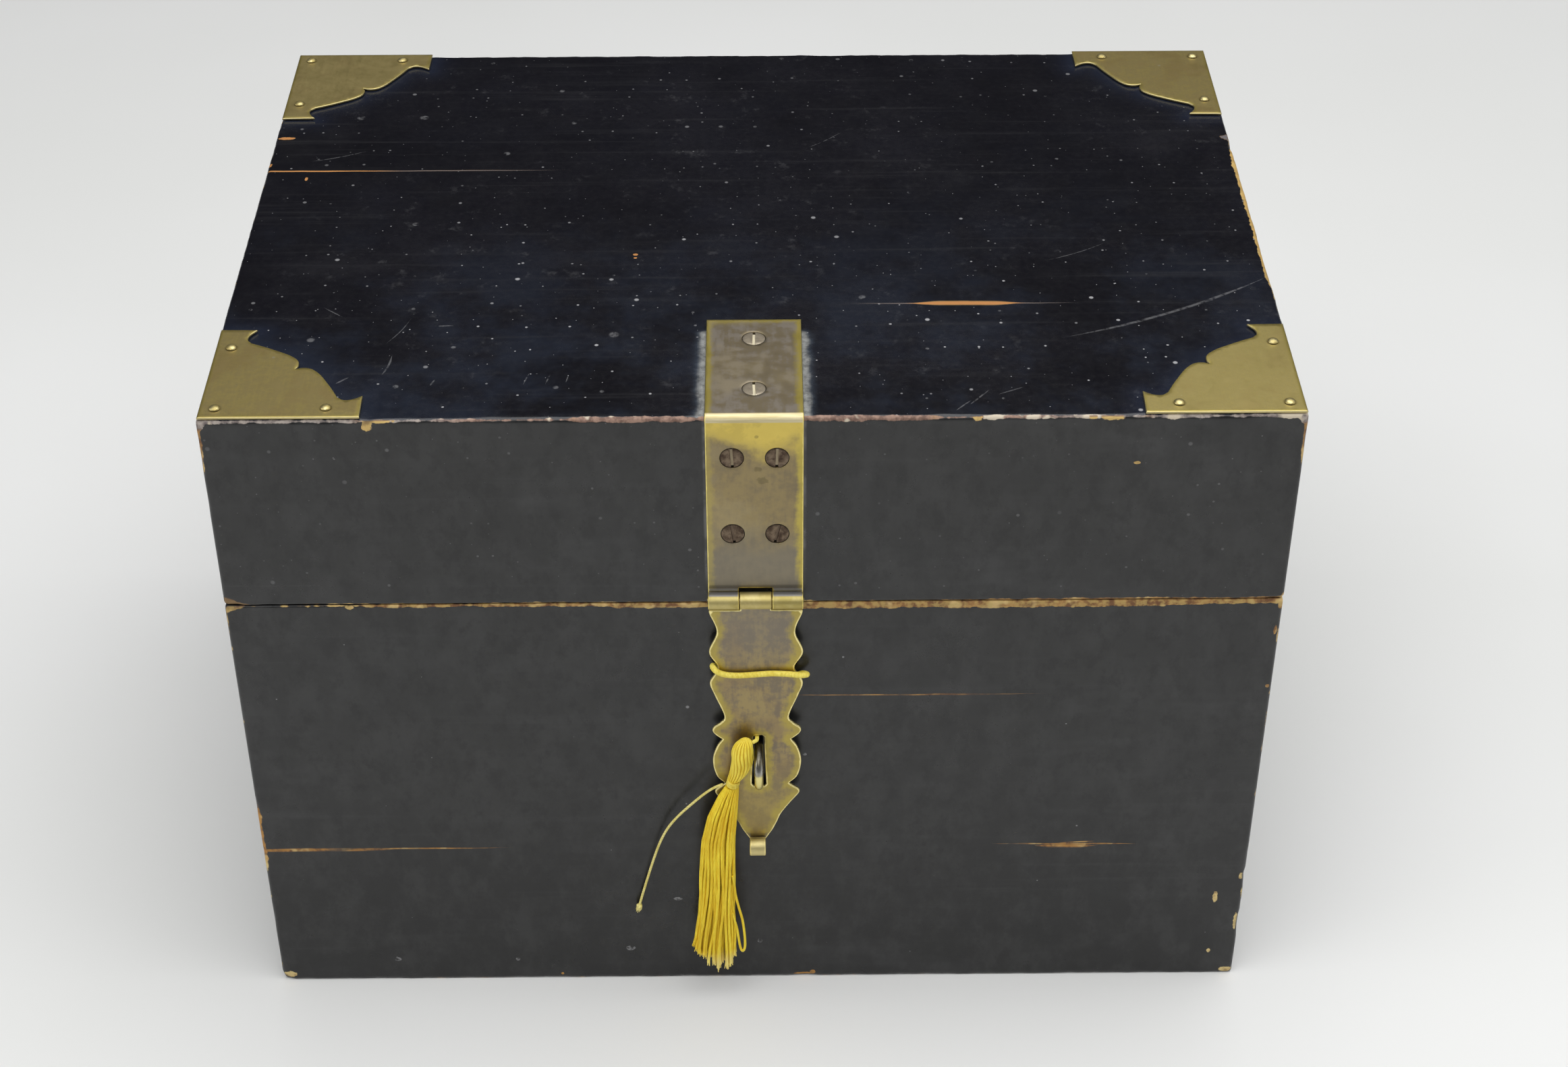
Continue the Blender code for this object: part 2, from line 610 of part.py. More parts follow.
def make_screws(steel):
    """Six slotted countersunk screws, flush with the strap."""
    for name, place in screw_places():
        screw = make_object(name, lathe(screw_profile(), SCREW_SEGMENTS, place), steel)
        half_length = SCREW_HEAD_RADIUS + CUT_MARGIN
        slot = block((-half_length, -SCREW_SLOT_WIDTH / 2, -SCREW_SLOT_DEPTH),
                     (half_length, SCREW_SLOT_WIDTH / 2, CUT_MARGIN))
        bmesh.ops.transform(slot, matrix=place, verts=slot.verts)
        combine(screw, slot, "DIFFERENCE", smooth_degrees=40)


def leaf_outline():
    """Front view of the leaf's plate: its scalloped edges and a tongue that feeds the scroll."""
    edge = edge_curve(LEAF_EDGE_SHARES, LEAF_EDGE_STEPS)
    edge = [(LEAF_HALF_WIDTH * w, HINGE_Z - LEAF_LENGTH * d) for w, d in edge]
    neck = MIDDLE_KNUCKLE_WIDTH / 2
    scroll_z = HINGE_Z - LEAF_LENGTH - SCROLL_DROP
    right = [(neck, HINGE_Z), (neck, edge[0][1])] + edge
    right += [(TONGUE_HALF_WIDTH, edge[-1][1]), (TONGUE_HALF_WIDTH, scroll_z)]
    left = [(-x, z) for x, z in reversed(right)]
    return [(HASP_OFFSET + x, z) for x, z in right + left]


def slot_cut():
    """The tapered slot that passes over the staple."""
    top, bottom = SLOT_TOP_WIDTH / 2, SLOT_BOTTOM_WIDTH / 2
    outline = [(SLOT_X - top, SLOT_TOP), (SLOT_X + top, SLOT_TOP),
               (SLOT_X + bottom, SLOT_BOTTOM), (SLOT_X - bottom, SLOT_BOTTOM)]
    return prism(outline, (LEAF_BACK - CUT_MARGIN, LEAF_FACE + CUT_MARGIN), "Y")


def scroll_outline():
    """Section of the rolled tip as (off, Z)."""
    centre = (HINGE_OFF + SCROLL_RADIUS, HINGE_Z - LEAF_LENGTH - SCROLL_DROP)
    half = LEAF_THICKNESS / 2
    outer = arc(centre, SCROLL_RADIUS + half, 180, 180 + SCROLL_TURN, SCROLL_STEPS)
    inner = arc(centre, SCROLL_RADIUS - half, 180 + SCROLL_TURN, 180, SCROLL_STEPS)
    lift = SCROLL_DROP + LEAF_THICKNESS
    return [(LEAF_BACK, centre[1] + lift)] + outer + inner + [(LEAF_FACE, centre[1] + lift)]


def make_leaf(brass):
    """The leaf, whose origin sits on its hinge axis."""
    bm = prism(leaf_outline(), (LEAF_BACK, LEAF_FACE), "Y")
    leaf = make_object("hasp_leaf", bm, brass)
    middle = MIDDLE_KNUCKLE_WIDTH / 2
    combine(leaf, x_cylinder(HASP_OFFSET - middle, HASP_OFFSET + middle, BARREL_RADIUS), "UNION")
    pin_hole = x_cylinder(HASP_OFFSET - HASP_WIDTH, HASP_OFFSET + HASP_WIDTH, PIN_HOLE_RADIUS)
    combine(leaf, pin_hole, "DIFFERENCE")
    tongue = (HASP_OFFSET - TONGUE_HALF_WIDTH, HASP_OFFSET + TONGUE_HALF_WIDTH)
    combine(leaf, prism(scroll_outline(), tongue, "X"), "UNION")
    combine(leaf, slot_cut(), "DIFFERENCE", smooth_degrees=30)
    axis = Vector((HASP_OFFSET, FRONT - HINGE_OFF, HINGE_Z))
    leaf.data.transform(Matrix.Translation(-axis))
    leaf.location = axis


def make_pin(brass):
    """The pin through the three knuckles."""
    reach = HASP_WIDTH / 2 + PIN_OVERHANG
    pin = x_cylinder(HASP_OFFSET - reach, HASP_OFFSET + reach, PIN_RADIUS)
    make_object("hinge_pin", pin, brass, smooth_degrees=50)


def along_neck(distance):
    """The place on the tassel head's axis at a distance from its top, with -Z along the axis."""
    direction = Vector((NECK_DIRECTION[0], -NECK_DIRECTION[1], NECK_DIRECTION[2])).normalized()
    top = Vector(from_route([HEAD_TOP])[0])
    turn = (-direction).to_track_quat("Z", "Y").to_matrix().to_4x4()
    return Matrix.Translation(top + direction * distance) @ turn


def make_tassel_head(silk):
    """The pear-shaped head."""
    profile = [(0.0, 0.0)] + [(HEAD_LENGTH * r, -HEAD_LENGTH * s) for s, r in HEAD_PROFILE_SHARES]
    head = lathe(profile, TASSEL_SEGMENTS, along_neck(0.0))
    make_object("tassel_head", head, silk, smooth_degrees=60)


def make_binding(silk):
    """Thread wound round the neck, as one ridged collar."""
    profile = []
    steps = BINDING_WRAPS * 2
    for i in range(steps + 1):
        ridge = BINDING_RIDGE if i % 2 else 0.0
        profile.append((BINDING_RADIUS - BINDING_RIDGE + ridge, -BINDING_LENGTH * i / steps))
    binding = lathe(profile, TASSEL_SEGMENTS, along_neck(HEAD_LENGTH + TOUCH_GAP))
    make_object("tassel_binding", binding, silk, smooth_degrees=60)


def skirt_ring(bm, ring, relief, hang=None):
    """One ring of the skirt with a ripple for each strand. hang gives how far a point drops."""
    drop, shift_x, shift_off, half_width, half_depth = ring
    collar = along_neck(HEAD_LENGTH + BINDING_LENGTH + 2 * TOUCH_GAP)
    if drop > 0:
        collar = Matrix.Translation(collar.translation)
    count = SKIRT_STRANDS * POINTS_PER_STRAND
    verts = []
    for i in range(count):
        angle = 2 * math.pi * i / count
        ripple = 1 + relief * (math.cos(SKIRT_STRANDS * angle) - 1)
        at = (shift_x + half_width * ripple * math.cos(angle),
              -shift_off - half_depth * ripple * math.sin(angle),
              -drop - (hang(i) if hang else 0.0))
        verts.append(bm.verts.new(collar @ Vector(at)))
    return verts


def ragged_hem(point):
    """How far a point of the skirt's hem hangs below the hem's highest strands."""
    angle = 2 * math.pi * point / (SKIRT_STRANDS * POINTS_PER_STRAND)
    strand = point // POINTS_PER_STRAND
    return SKIRT_END_DIP * math.sin(angle) ** 2 + SKIRT_END_RAGGED * math.sin(2.4 * strand)


def make_skirt(silk):
    """The fringe as one bundle: strands side by side, ragged at the bottom."""
    bm = bmesh.new()
    rings = []
    for i, ring in enumerate(SKIRT_RINGS):
        rings.append(skirt_ring(bm, ring, STRAND_RELIEF * min(1.0, (i + 1) / 3)))
    _, shift_x, shift_off, half_width, half_depth = SKIRT_RINGS[-1]
    hem = (SKIRT_LENGTH, shift_x, shift_off, 0.9 * half_width, 0.8 * half_depth)
    rings.append(skirt_ring(bm, hem, STRAND_RELIEF, ragged_hem))
    for upper, lower in zip(rings, rings[1:]):
        for i in range(len(upper)):
            k = (i + 1) % len(upper)
            bm.faces.new((upper[i], upper[k], lower[k], lower[i]))
    bm.faces.new(rings[0])
    middle = sum((v.co for v in rings[-1]), Vector()) / len(rings[-1])
    tip = bm.verts.new(middle)
    for i in range(len(rings[-1])):
        bm.faces.new((rings[-1][i], rings[-1][(i + 1) % len(rings[-1])], tip))
    make_object("tassel_skirt", bm, silk, smooth_degrees=60)


def make_cords(silk):
    """The cord that hangs the tassel on the leaf, and the thread that trails from its neck."""
    hanging = catmull(from_route(HANGING_CORD_ROUTE), 2)
    tube("hanging_cord", hanging, HANGING_CORD_RADIUS, silk)
    tail = resample(catmull(from_route(TAIL_THREAD_ROUTE), 8), 2.5 * TAIL_THREAD_RADIUS * 2)
    tube("tail_thread", tail, TAIL_THREAD_RADIUS, silk)
    end = Vector(tail[-1])
    along = (end - Vector(tail[-2])).normalized()
    centre = end + along * (TAIL_KNOT_RADIUS + TOUCH_GAP)
    angles = [math.radians(d) for d in (30, 60, 90, 120, 150)]
    ball = [(TAIL_KNOT_RADIUS * math.sin(a), TAIL_KNOT_RADIUS * math.cos(a)) for a in angles]
    profile = [(0.0, TAIL_KNOT_RADIUS)] + ball + [(0.0, -TAIL_KNOT_RADIUS)]
    knot = lathe(profile, NAIL_SEGMENTS, Matrix.Translation(centre))
    make_object("tail_knot", knot, silk, smooth_degrees=60)


def main():
    clear_scene()
    lacquer = material("black lacquer", (0.016, 0.017, 0.022), 0.30, 0.0)
    brass = material("aged brass", (0.42, 0.36, 0.16), 0.38, 1.0)
    steel = material("browned screws", (0.16, 0.12, 0.10), 0.50, 1.0)
    silk = material("yellow silk", (0.72, 0.50, 0.05), 0.60, 0.0)
    make_body(lacquer)
    make_lid(lacquer)
    make_corner_plates(brass)
    make_strap(brass)
    make_screws(steel)
    make_pin(brass)
    make_leaf(brass)
    tube("staple", staple_path(), STAPLE_WIRE_RADIUS, steel, resolution=4)
    make_tassel_head(silk)
    make_binding(silk)
    make_skirt(silk)
    make_cords(silk)


main()
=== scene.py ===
"""The lacquer box dressed for the camera: metres, +Z up, the front faces -Y.

"off" is a distance outwards from the box's front face. Lists of marks are in millimetres.
"""

import math
import random
from functools import reduce

import bmesh
import bpy
import numpy as np
from mathutils import Matrix, Vector
from mathutils.geometry import delaunay_2d_cdt


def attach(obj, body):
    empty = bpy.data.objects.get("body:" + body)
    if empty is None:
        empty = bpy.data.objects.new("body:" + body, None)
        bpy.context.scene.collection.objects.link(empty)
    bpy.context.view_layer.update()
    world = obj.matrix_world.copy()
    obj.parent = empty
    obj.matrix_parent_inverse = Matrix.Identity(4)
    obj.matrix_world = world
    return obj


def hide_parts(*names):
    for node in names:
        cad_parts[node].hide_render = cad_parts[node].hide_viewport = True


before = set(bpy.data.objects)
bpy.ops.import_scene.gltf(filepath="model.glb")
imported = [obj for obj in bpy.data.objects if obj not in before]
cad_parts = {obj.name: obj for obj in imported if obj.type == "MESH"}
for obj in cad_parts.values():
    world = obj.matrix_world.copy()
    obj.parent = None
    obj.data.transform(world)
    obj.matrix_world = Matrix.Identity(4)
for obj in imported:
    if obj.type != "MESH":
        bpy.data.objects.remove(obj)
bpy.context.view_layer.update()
rng = random.Random(7)

# The box, as the model has it
MM = 0.001
WIDTH, DEPTH, HEIGHT = 0.350, 0.248, 0.250
SEAM, SEAM_GAP = 0.176, 0.0004
WALL, FLOOR_THICKNESS, TOP_THICKNESS = 0.010, 0.009, 0.010
LIP_INSET, LIP_HEIGHT, LIP_CLEARANCE = 0.0055, 0.006, 0.0004
FRONT = -DEPTH / 2
PLATE_SIZE, PLATE_THICKNESS, PLATE_INSET = 0.051, 0.0008, 0.0005
PLATE_BOTTOM = HEIGHT + 0.0003
NAIL_NEAR, NAIL_FAR, NAIL_RADIUS, NAIL_SHANK = 0.0055, 0.0405, 0.0018, 0.0073

# The hasp: strap, hinge, leaf and staple
HASP_X, HASP_WIDTH = 0.0003, 0.0312
STRAP_BACK, STRAP_THICKNESS = 0.0003, 0.0012
STRAP_FACE = STRAP_BACK + STRAP_THICKNESS
STRAP_TOP, STRAP_TOP_LENGTH = HEIGHT + STRAP_FACE, 0.0553
BEND_RADIUS, BARREL_RADIUS, BARREL_TURN = 0.0024, 0.0029, 5.25
HINGE_OFF, HINGE_Z = STRAP_BACK + BARREL_RADIUS, SEAM + 0.0035
MIDDLE_KNUCKLE, KNUCKLE_GAP, NOTCH_RISE = 0.0104, 0.0003, 0.0010
PIN_HOLE_RADIUS, KNUCKLE_ROUND = 0.0013, 0.0002
BEND_START = STRAP_TOP_LENGTH + STRAP_FACE - BEND_RADIUS
BEND_END = BEND_START + BEND_RADIUS * math.pi / 2
STRAP_ROLL_START = BEND_END + (STRAP_TOP - BEND_RADIUS) - HINGE_Z
SCREW_RADIUS, SCREW_GAP, SCREW_SPACING = 0.0037, 0.0002, 0.0144
SCREW_SLOT_HALF, SCREW_SLOT_DEPTH = 0.00045, 0.0006
SHANK_RADIUS, SHANK_END = 0.0016, -0.0083
UPPER_SCREW_Z = HEIGHT - TOP_THICKNESS - 0.0003 - 0.0040
LOWER_SCREW_Z = HINGE_Z + 0.466 * (UPPER_SCREW_Z - HINGE_Z)
TOP_SCREW_SETBACKS = (0.0145, 0.0438)
LEAF_LENGTH, LEAF_THICKNESS, LEAF_HALF_WIDTH = 0.1042, 0.0012, 0.0157
LEAF_BACK = HINGE_OFF - LEAF_THICKNESS / 2
TONGUE_HALF_WIDTH = 0.0028
SCROLL_DROP, SCROLL_RADIUS, SCROLL_TURN = 0.0038, 0.0027, 304.0
LEAF_ROLL_START = LEAF_LENGTH + SCROLL_DROP
SLOT_X, SLOT_TOP = HASP_X + 0.0006, HINGE_Z - 0.0583
SLOT_LENGTH, SLOT_TOP_WIDTH, SLOT_BOTTOM_WIDTH = 0.0232, 0.0036, 0.0050
STAPLE_WIRE, STAPLE_INSET, STAPLE_REACH, STAPLE_ROOT = 0.0015, 0.0026, 0.0142, 0.0060

# Outlines as shares: (half width, distance down) of the leaf,
# (along, in) of a plate's edge up to its diagonal
LEAF_EDGE = [
    [(0.975, 0.034), (0.975, 0.050), (0.829, 0.125), (1.000, 0.206), (0.815, 0.272),
     (0.994, 0.331), (0.904, 0.385), (0.700, 0.475), (0.790, 0.505), (0.918, 0.521),
     (0.962, 0.536), (0.925, 0.551), (0.830, 0.566), (0.745, 0.576)],
    [(0.745, 0.576), (0.880, 0.610), (0.968, 0.669), (0.890, 0.735), (0.700, 0.770)],
    [(0.700, 0.770), (0.800, 0.783), (0.910, 0.796), (0.932, 0.808), (0.890, 0.822),
     (0.710, 0.861), (0.525, 0.907), (0.434, 0.944), (0.345, 0.977), (0.262, 1.000), (0.195, 1.018)],
]
PLATE_EDGE = [
    [(0.996, 0.235), (0.935, 0.196), (0.880, 0.190), (0.840, 0.220)],
    [(0.840, 0.220), (0.800, 0.304), (0.749, 0.398), (0.698, 0.482), (0.639, 0.541),
     (0.580, 0.553), (0.537, 0.537)],
]

# The tassel: (x, off, z, radius) of the head, (z, x, off, half width, half depth) of the skirt
# and (x, z) of its hem
HEAD_RINGS = [
    (-0.0031, 0.0081, 0.1236, 0.0002), (-0.0033, 0.0081, 0.1233, 0.0011), (-0.0037, 0.0081, 0.1222, 0.0023),
    (-0.0042, 0.0081, 0.1206, 0.0031), (-0.0046, 0.0080, 0.1175, 0.0037), (-0.0047, 0.0080, 0.1150, 0.00375),
    (-0.0049, 0.0079, 0.1128, 0.0036), (-0.0058, 0.0077, 0.1087, 0.0031), (-0.0072, 0.0073, 0.1052, 0.0025),
    (-0.0077, 0.0072, 0.1043, 0.0022),
]
NECK_TOP, NECK_BOTTOM = (-0.0077, 0.0072, 0.1042), (-0.0083, 0.0070, 0.1014)
SKIRT_RINGS = [
    (0.1012, -0.0083, 0.0070, 0.0025, 0.0021), (0.0963, -0.0098, 0.0072, 0.0039, 0.0026),
    (0.0876, -0.0119, 0.0075, 0.0055, 0.0029), (0.0765, -0.0134, 0.0077, 0.0060, 0.0030),
    (0.0643, -0.0138, 0.0078, 0.0060, 0.0031), (0.0517, -0.0142, 0.0079, 0.0065, 0.0032),
    (0.0389, -0.0148, 0.0079, 0.0073, 0.0032), (0.0259, -0.0156, 0.0079, 0.0082, 0.0032),
    (0.0100, -0.0162, 0.0079, 0.0087, 0.0032),
]
SKIRT_ENDS = [(-0.0245, 0.0272), (-0.0225, 0.0232), (-0.0205, 0.0214), (-0.0185, 0.0206), (-0.0160, 0.0182),
              (-0.0135, 0.0164), (-0.0105, 0.0166), (-0.0085, 0.0196), (-0.0070, 0.0225)]
STRAY_STRAND = [
    (-0.0086, 0.0600), (-0.0080, 0.0540), (-0.0077, 0.0505), (-0.0067, 0.0448), (-0.0055, 0.0388),
    (-0.0048, 0.0320), (-0.0046, 0.0262), (-0.0050, 0.0232), (-0.0058, 0.0229), (-0.0064, 0.0252),
    (-0.0069, 0.0294), (-0.0074, 0.0338), (-0.0080, 0.0370), (-0.0090, 0.0420),
]
STRAND_RADIUS, STRAND_STEPS, STRAND_TIPS = 0.00052, 34, 5

# Cords: (x, off, height) from the slot's top
HANGING_CORD_ROUTE = [
    (-0.00215, 0.00635, -0.00090), (-0.00145, 0.00600, -0.00070), (-0.00085, 0.00530, -0.00085),
    (-0.00060, 0.00440, -0.00110), (-0.00055, 0.00320, -0.00120), (-0.00075, 0.00190, -0.00085),
    (-0.00160, 0.00135, 0.00030), (-0.00310, 0.00130, 0.00300), (-0.00610, 0.00130, 0.00930),
    (-0.00940, 0.00130, 0.01780), (-0.01220, 0.00130, 0.02540), (-0.01400, 0.00135, 0.02850),
    (-0.01500, 0.00200, 0.02970), (-0.01520, 0.00330, 0.03040), (-0.01480, 0.00455, 0.03050),
    (-0.01410, 0.00505, 0.02990), (-0.01273, 0.00505, 0.02890), (-0.01023, 0.00500, 0.02806),
    (-0.00616, 0.00500, 0.02780), (-0.00072, 0.00500, 0.02817), (0.00472, 0.00500, 0.02856),
    (0.01016, 0.00500, 0.02825), (0.01424, 0.00500, 0.02776), (0.01600, 0.00440, 0.02740),
    (0.01630, 0.00320, 0.02670), (0.01500, 0.00185, 0.02590), (0.01320, 0.00132, 0.02490),
    (0.01060, 0.00130, 0.02340), (0.00660, 0.00130, 0.01930), (0.00330, 0.00130, 0.01130),
    (0.00110, 0.00130, 0.00460), (0.00000, 0.00130, 0.00200),
]
TAIL_THREAD_ROUTE = [
    (-0.01250, 0.00655, -0.01970), (-0.01419, 0.00640, -0.02058), (-0.01679, 0.00600, -0.02243),
    (-0.02036, 0.00560, -0.02623), (-0.02422, 0.00500, -0.03117), (-0.02834, 0.00450, -0.03621),
    (-0.03227, 0.00400, -0.04194), (-0.03484, 0.00340, -0.04894), (-0.03697, 0.00300, -0.05616),
    (-0.03914, 0.00260, -0.06443), (-0.04109, 0.00220, -0.07280), (-0.04275, 0.00200, -0.07903),
    (-0.04325, 0.00195, -0.08170),
]
CORD_RADIUS, THREAD_RADIUS, KNOT_RADIUS = 0.0010, 0.00045, 0.0010

# Marks in millimetres on the lid's top (x, y) or in front (x, z).
# A line is its two ends, its width and its bow, and a spot is its centre and its two radii.
LID_CRACKS = [(-190, 34.5, -66, 34.5, 0.42), (-186, 34.6, -138, 34.6, 0.62), (30, -56.8, 110, -57.2, 0.32),
              (50, -56.9, 92, -57, 1.65)]
LID_SPOTS = [(-40.2, -24.6, 0.9, 0.7), (-40.2, -26.8, 0.6, 0.5), (-171.2, 59, 3.2, 1), (-176.5, 39, 3, 1.8),
             (-160, 29, 0.6, 1.2), (175, 56, 3, 2.2)]
LID_SCRATCHES = [
    (100, -79, 176.5, -39.5, 0.8, 4), (-161, 41.5, -140, 49.5, 0.28, 0.8), (-73.5, -104.5, -71.8, -97.5, 0.3),
    (-66.5, -104.5, -65, -97.8, 0.3), (-60, -103.5, -59.2, -98.5, 0.24), (100, -30, 122, -18, 0.22, 1),
    (-120, -80, -113, -64, 0.22, 0.8), (20, 50, 33, 62, 0.2, 0.6), (-119.5, -98.9, -117.1, -86.4, 0.45, 0.6),
    (-133.7, -103.4, -129.4, -99.2, 0.45), (-104.9, -69.4, -98.4, -69.1, 0.5),
    (-103.2, -104.7, -101.9, -101, 0.4), (-143.1, -57.3, -134.6, -64.5, 0.28),
    (68.2, -117.5, 75.5, -108.6, 0.4), (63.8, -120.5, 69.2, -114.5, 0.35), (77.8, -111.6, 86.6, -107.2, 0.32),
]
LID_FRONT_SPOTS = [(-121.4, 248.3, 1.7, 2.7), (-117.2, 249.6, 4.2, 0.9), (121.9, 231.9, 1.2, 0.6),
                   (70.5, 249.6, 1.6, 1.3), (113, 249.5, 3.8, 1.2), (107, 249.6, 1.6, 0.9)]
LID_FRONT_SCRATCHES = [(-178, 184.6, -138, 184.4, 0.5)]
BODY_CRACKS = [(6, 136, 100, 135.7, 0.4), (-190, 66, -85, 66, 0.45), (-186, 65.6, -128, 65.5, 0.95),
               (82, 66.4, 136, 65.7, 0.45), (98, 65.2, 121, 64.9, 1.2), (106, 66.4, 120, 67.2, 0.4)]
BODY_SPOTS = [(-134, 175.2, 1.6, 1), (173.7, 49, 1, 1.6), (165.2, 39, 0.9, 3), (173.7, 26.5, 0.8, 4),
              (165.3, 11.8, 0.7, 1), (-172, 3, 2.6, 1.5), (16.5, 1.4, 3.6, 0.8), (20, 2.2, 1, 1.2),
              (173.5, 163, 0.6, 2), (173.5, 138.5, 0.7, 0.8), (-72, 2.4, 0.6, 0.6), (172.5, 2, 3, 1.2)]
BODY_BRUISES = [(-28.6, 40.2, 1.6, 0.8), (-46.4, 15.3, 1.7, 1.1), (0.8, 18.7, 0.8, 1),
                (16.8, 109.1, 0.7, 0.6), (-132, 10.5, 1.2, 1), (-88, 10, 0.8, 0.9)]
STRAP_STAINS = [(1, 243.8, 0.7, 0.56), (3, 226.8, 1.8, 1.44), (1.2, 231.2, 1.2, 0.96)]


# Node graphs

def operator(operation):
    """A method that works on a Value with a Math node."""
    return lambda value, *others: value.graph.maths(operation, value, *others)


class Value:
    """What a node gives: arithmetic adds more nodes, | is the larger of two and & the smaller."""

    def __init__(self, graph, socket):
        self.graph, self.socket = graph, socket

    __add__, __sub__, __mul__, __truediv__ = map(operator, ("ADD", "SUBTRACT", "MULTIPLY", "DIVIDE"))
    __pow__, __or__, __and__, __abs__ = map(operator, ("POWER", "MAXIMUM", "MINIMUM", "ABSOLUTE"))

    def __rsub__(self, other):
        return self.graph.maths("SUBTRACT", other, self)

    def ramp(self, low, high, to_low=0.0, to_high=1.0):
        """A smooth step from to_low, where this is low, to to_high, where it is high."""
        node = self.graph.add("ShaderNodeMapRange", interpolation_type="SMOOTHSTEP")
        return self.graph.fill(node, self, low, high, to_low, to_high)

    def between(self, low, high, soft):
        return self.ramp(low - soft, low + soft) * self.ramp(high + soft, high - soft)

    def tint(self, mask, colour):
        """This colour with another over it where the mask is 1."""
        return self.graph.mix(mask, self, colour)


class Graph:
    """A material's nodes, with the object's own coordinates as Values."""

    def __init__(self, name):
        self.material = bpy.data.materials.new(name)
        self.material.use_nodes = True
        self.tree = self.material.node_tree
        self.shader = self.tree.nodes["Principled BSDF"]
        self.kept = {}
        self.place = self.coordinates("Object")
        self.x, self.y, self.z = self.split(self.place)

    def add(self, kind, **settings):
        node = self.tree.nodes.new(kind)
        for name, value in settings.items():
            setattr(node, name, value)
        return node

    def plug(self, socket, value):
        if isinstance(value, Value):
            self.tree.links.new(value.socket, socket)
        elif socket.type == "RGBA" and len(value) == 3:
            socket.default_value = (*value, 1.0)
        else:
            socket.default_value = value

    def fill(self, node, *values):
        """Plug values into a node's first inputs."""
        for socket, value in zip(node.inputs, values):
            self.plug(socket, value)
        return Value(self, node.outputs[0])

    def put(self, node, **values):
        """Plug values into a node's inputs by name."""
        for name, value in values.items():
            self.plug(node.inputs[name.replace("_", " ")], value)
        return Value(self, node.outputs[0])

    def maths(self, operation, *values):
        return self.fill(self.add("ShaderNodeMath", operation=operation), *values)

    def coordinates(self, kind):
        return Value(self, self.add("ShaderNodeTexCoord").outputs[kind])

    def split(self, vector):
        node = self.add("ShaderNodeSeparateXYZ")
        self.fill(node, vector)
        return [Value(self, socket) for socket in node.outputs]

    def noise(self, scale, detail=3.0, rough=0.5, stretch=None):
        """Noise in the object's own space, stretched or even. Equal calls share one node."""
        key = (scale, detail, rough, stretch)
        if key not in self.kept:
            place = self.place
            if stretch:
                place = self.put(self.add("ShaderNodeMapping"), Vector=place, Scale=stretch)
            node = self.add("ShaderNodeTexNoise")
            self.kept[key] = self.put(node, Vector=place, Scale=scale, Detail=detail, Roughness=rough)
        return self.kept[key]

    def mix(self, factor, a, b):
        """A colour between two others."""
        node = self.add("ShaderNodeMix", data_type="RGBA")
        for socket, value in zip((node.inputs[0], *node.inputs[6:8]), (factor, a, b)):
            self.plug(socket, value)
        return Value(self, node.outputs[2])

    def blend(self, factor, a, b):
        """A number between two others."""
        node = self.add("ShaderNodeMix", data_type="FLOAT")
        for socket, value in zip((node.inputs[0], *node.inputs[2:4]), (factor, a, b)):
            self.plug(socket, value)
        return Value(self, node.outputs[0])

    def layer(self, name):
        return Value(self, self.add("ShaderNodeAttribute", attribute_name=name).outputs["Fac"])

    def bump(self, height, strength, distance):
        node = self.add("ShaderNodeBump")
        normal = self.put(node, Height=height, Strength=strength, Distance=distance)
        self.plug(self.shader.inputs["Normal"], normal)

    def finish(self, colour, roughness, **fixed):
        self.put(self.shader, Base_Color=colour, Roughness=roughness, **fixed)
        return self.material

    def distance(self, a, b):
        return self.maths("SQRT", a * a + b * b)

    def line(self, u, v, u0, v0, u1, v1, width, bow=0.0, wander=0.0004):
        """A mask for a thin mark on the plane of u and v, tapering at its ends."""
        length = math.hypot(u1 - u0, v1 - v0)
        cos, sin = (u1 - u0) / length, (v1 - v0) / length
        du, dv = u - u0, v - v0
        along, across = du * (cos / length) + dv * (sin / length), dv * cos - du * sin
        if bow:
            across = across + (1.0 - along) * along * (4 * bow)
        off = abs(across + (self.noise(60.0, 2.0) - 0.5) * (wander * 2))
        span = abs(along - 0.5).ramp(0.5, 0.2) * width
        return off.ramp(span, span * 0.35)

    def spot(self, u, v, centre_u, centre_v, radius_u, radius_v, ragged=0.5):
        """A mask for a ragged spot on the plane of u and v."""
        far = self.distance((u - centre_u) / radius_u, (v - centre_v) / radius_v)
        return (far + (self.noise(700.0, 2.0) - 0.5) * (ragged * 2)).ramp(1.05, 0.85)

    def marks(self, shape, u, v, rows, **options):
        """One mask for a list of marks, each a line or a spot in millimetres."""
        return reduce(Value.__or__, [shape(u, v, *(n * MM for n in row), **options) for row in rows])

    def spread(self, top):
        """Flat coordinates on each face: x and y on top, x and z in front, y and z at the sides."""
        side = abs(self.x).ramp(WIDTH / 2 - 0.0008, WIDTH / 2 - 0.0004)
        return self.fill(self.add("ShaderNodeCombineXYZ"), self.blend(side, self.x, self.y),
                         self.blend(top, self.z, self.y))

    def specks(self, flat, scale, keep, size, shift=0.0):
        """Scattered small dots: one to a cell, in a share of the cells, of mixed sizes."""
        node = self.add("ShaderNodeTexVoronoi", feature="F1", voronoi_dimensions="2D")
        moved = self.put(self.add("ShaderNodeMapping"), Vector=flat, Location=(shift, shift / 2, 0.0))
        far = self.put(node, Vector=moved, Scale=scale)
        red, green, _ = self.split(Value(self, node.outputs["Color"]))
        radius = green ** 3.0 * (size * scale * 0.8) + size * scale * 0.2
        return far.ramp(radius, radius * 0.5) * self.maths("LESS_THAN", red, keep)


# The lacquer

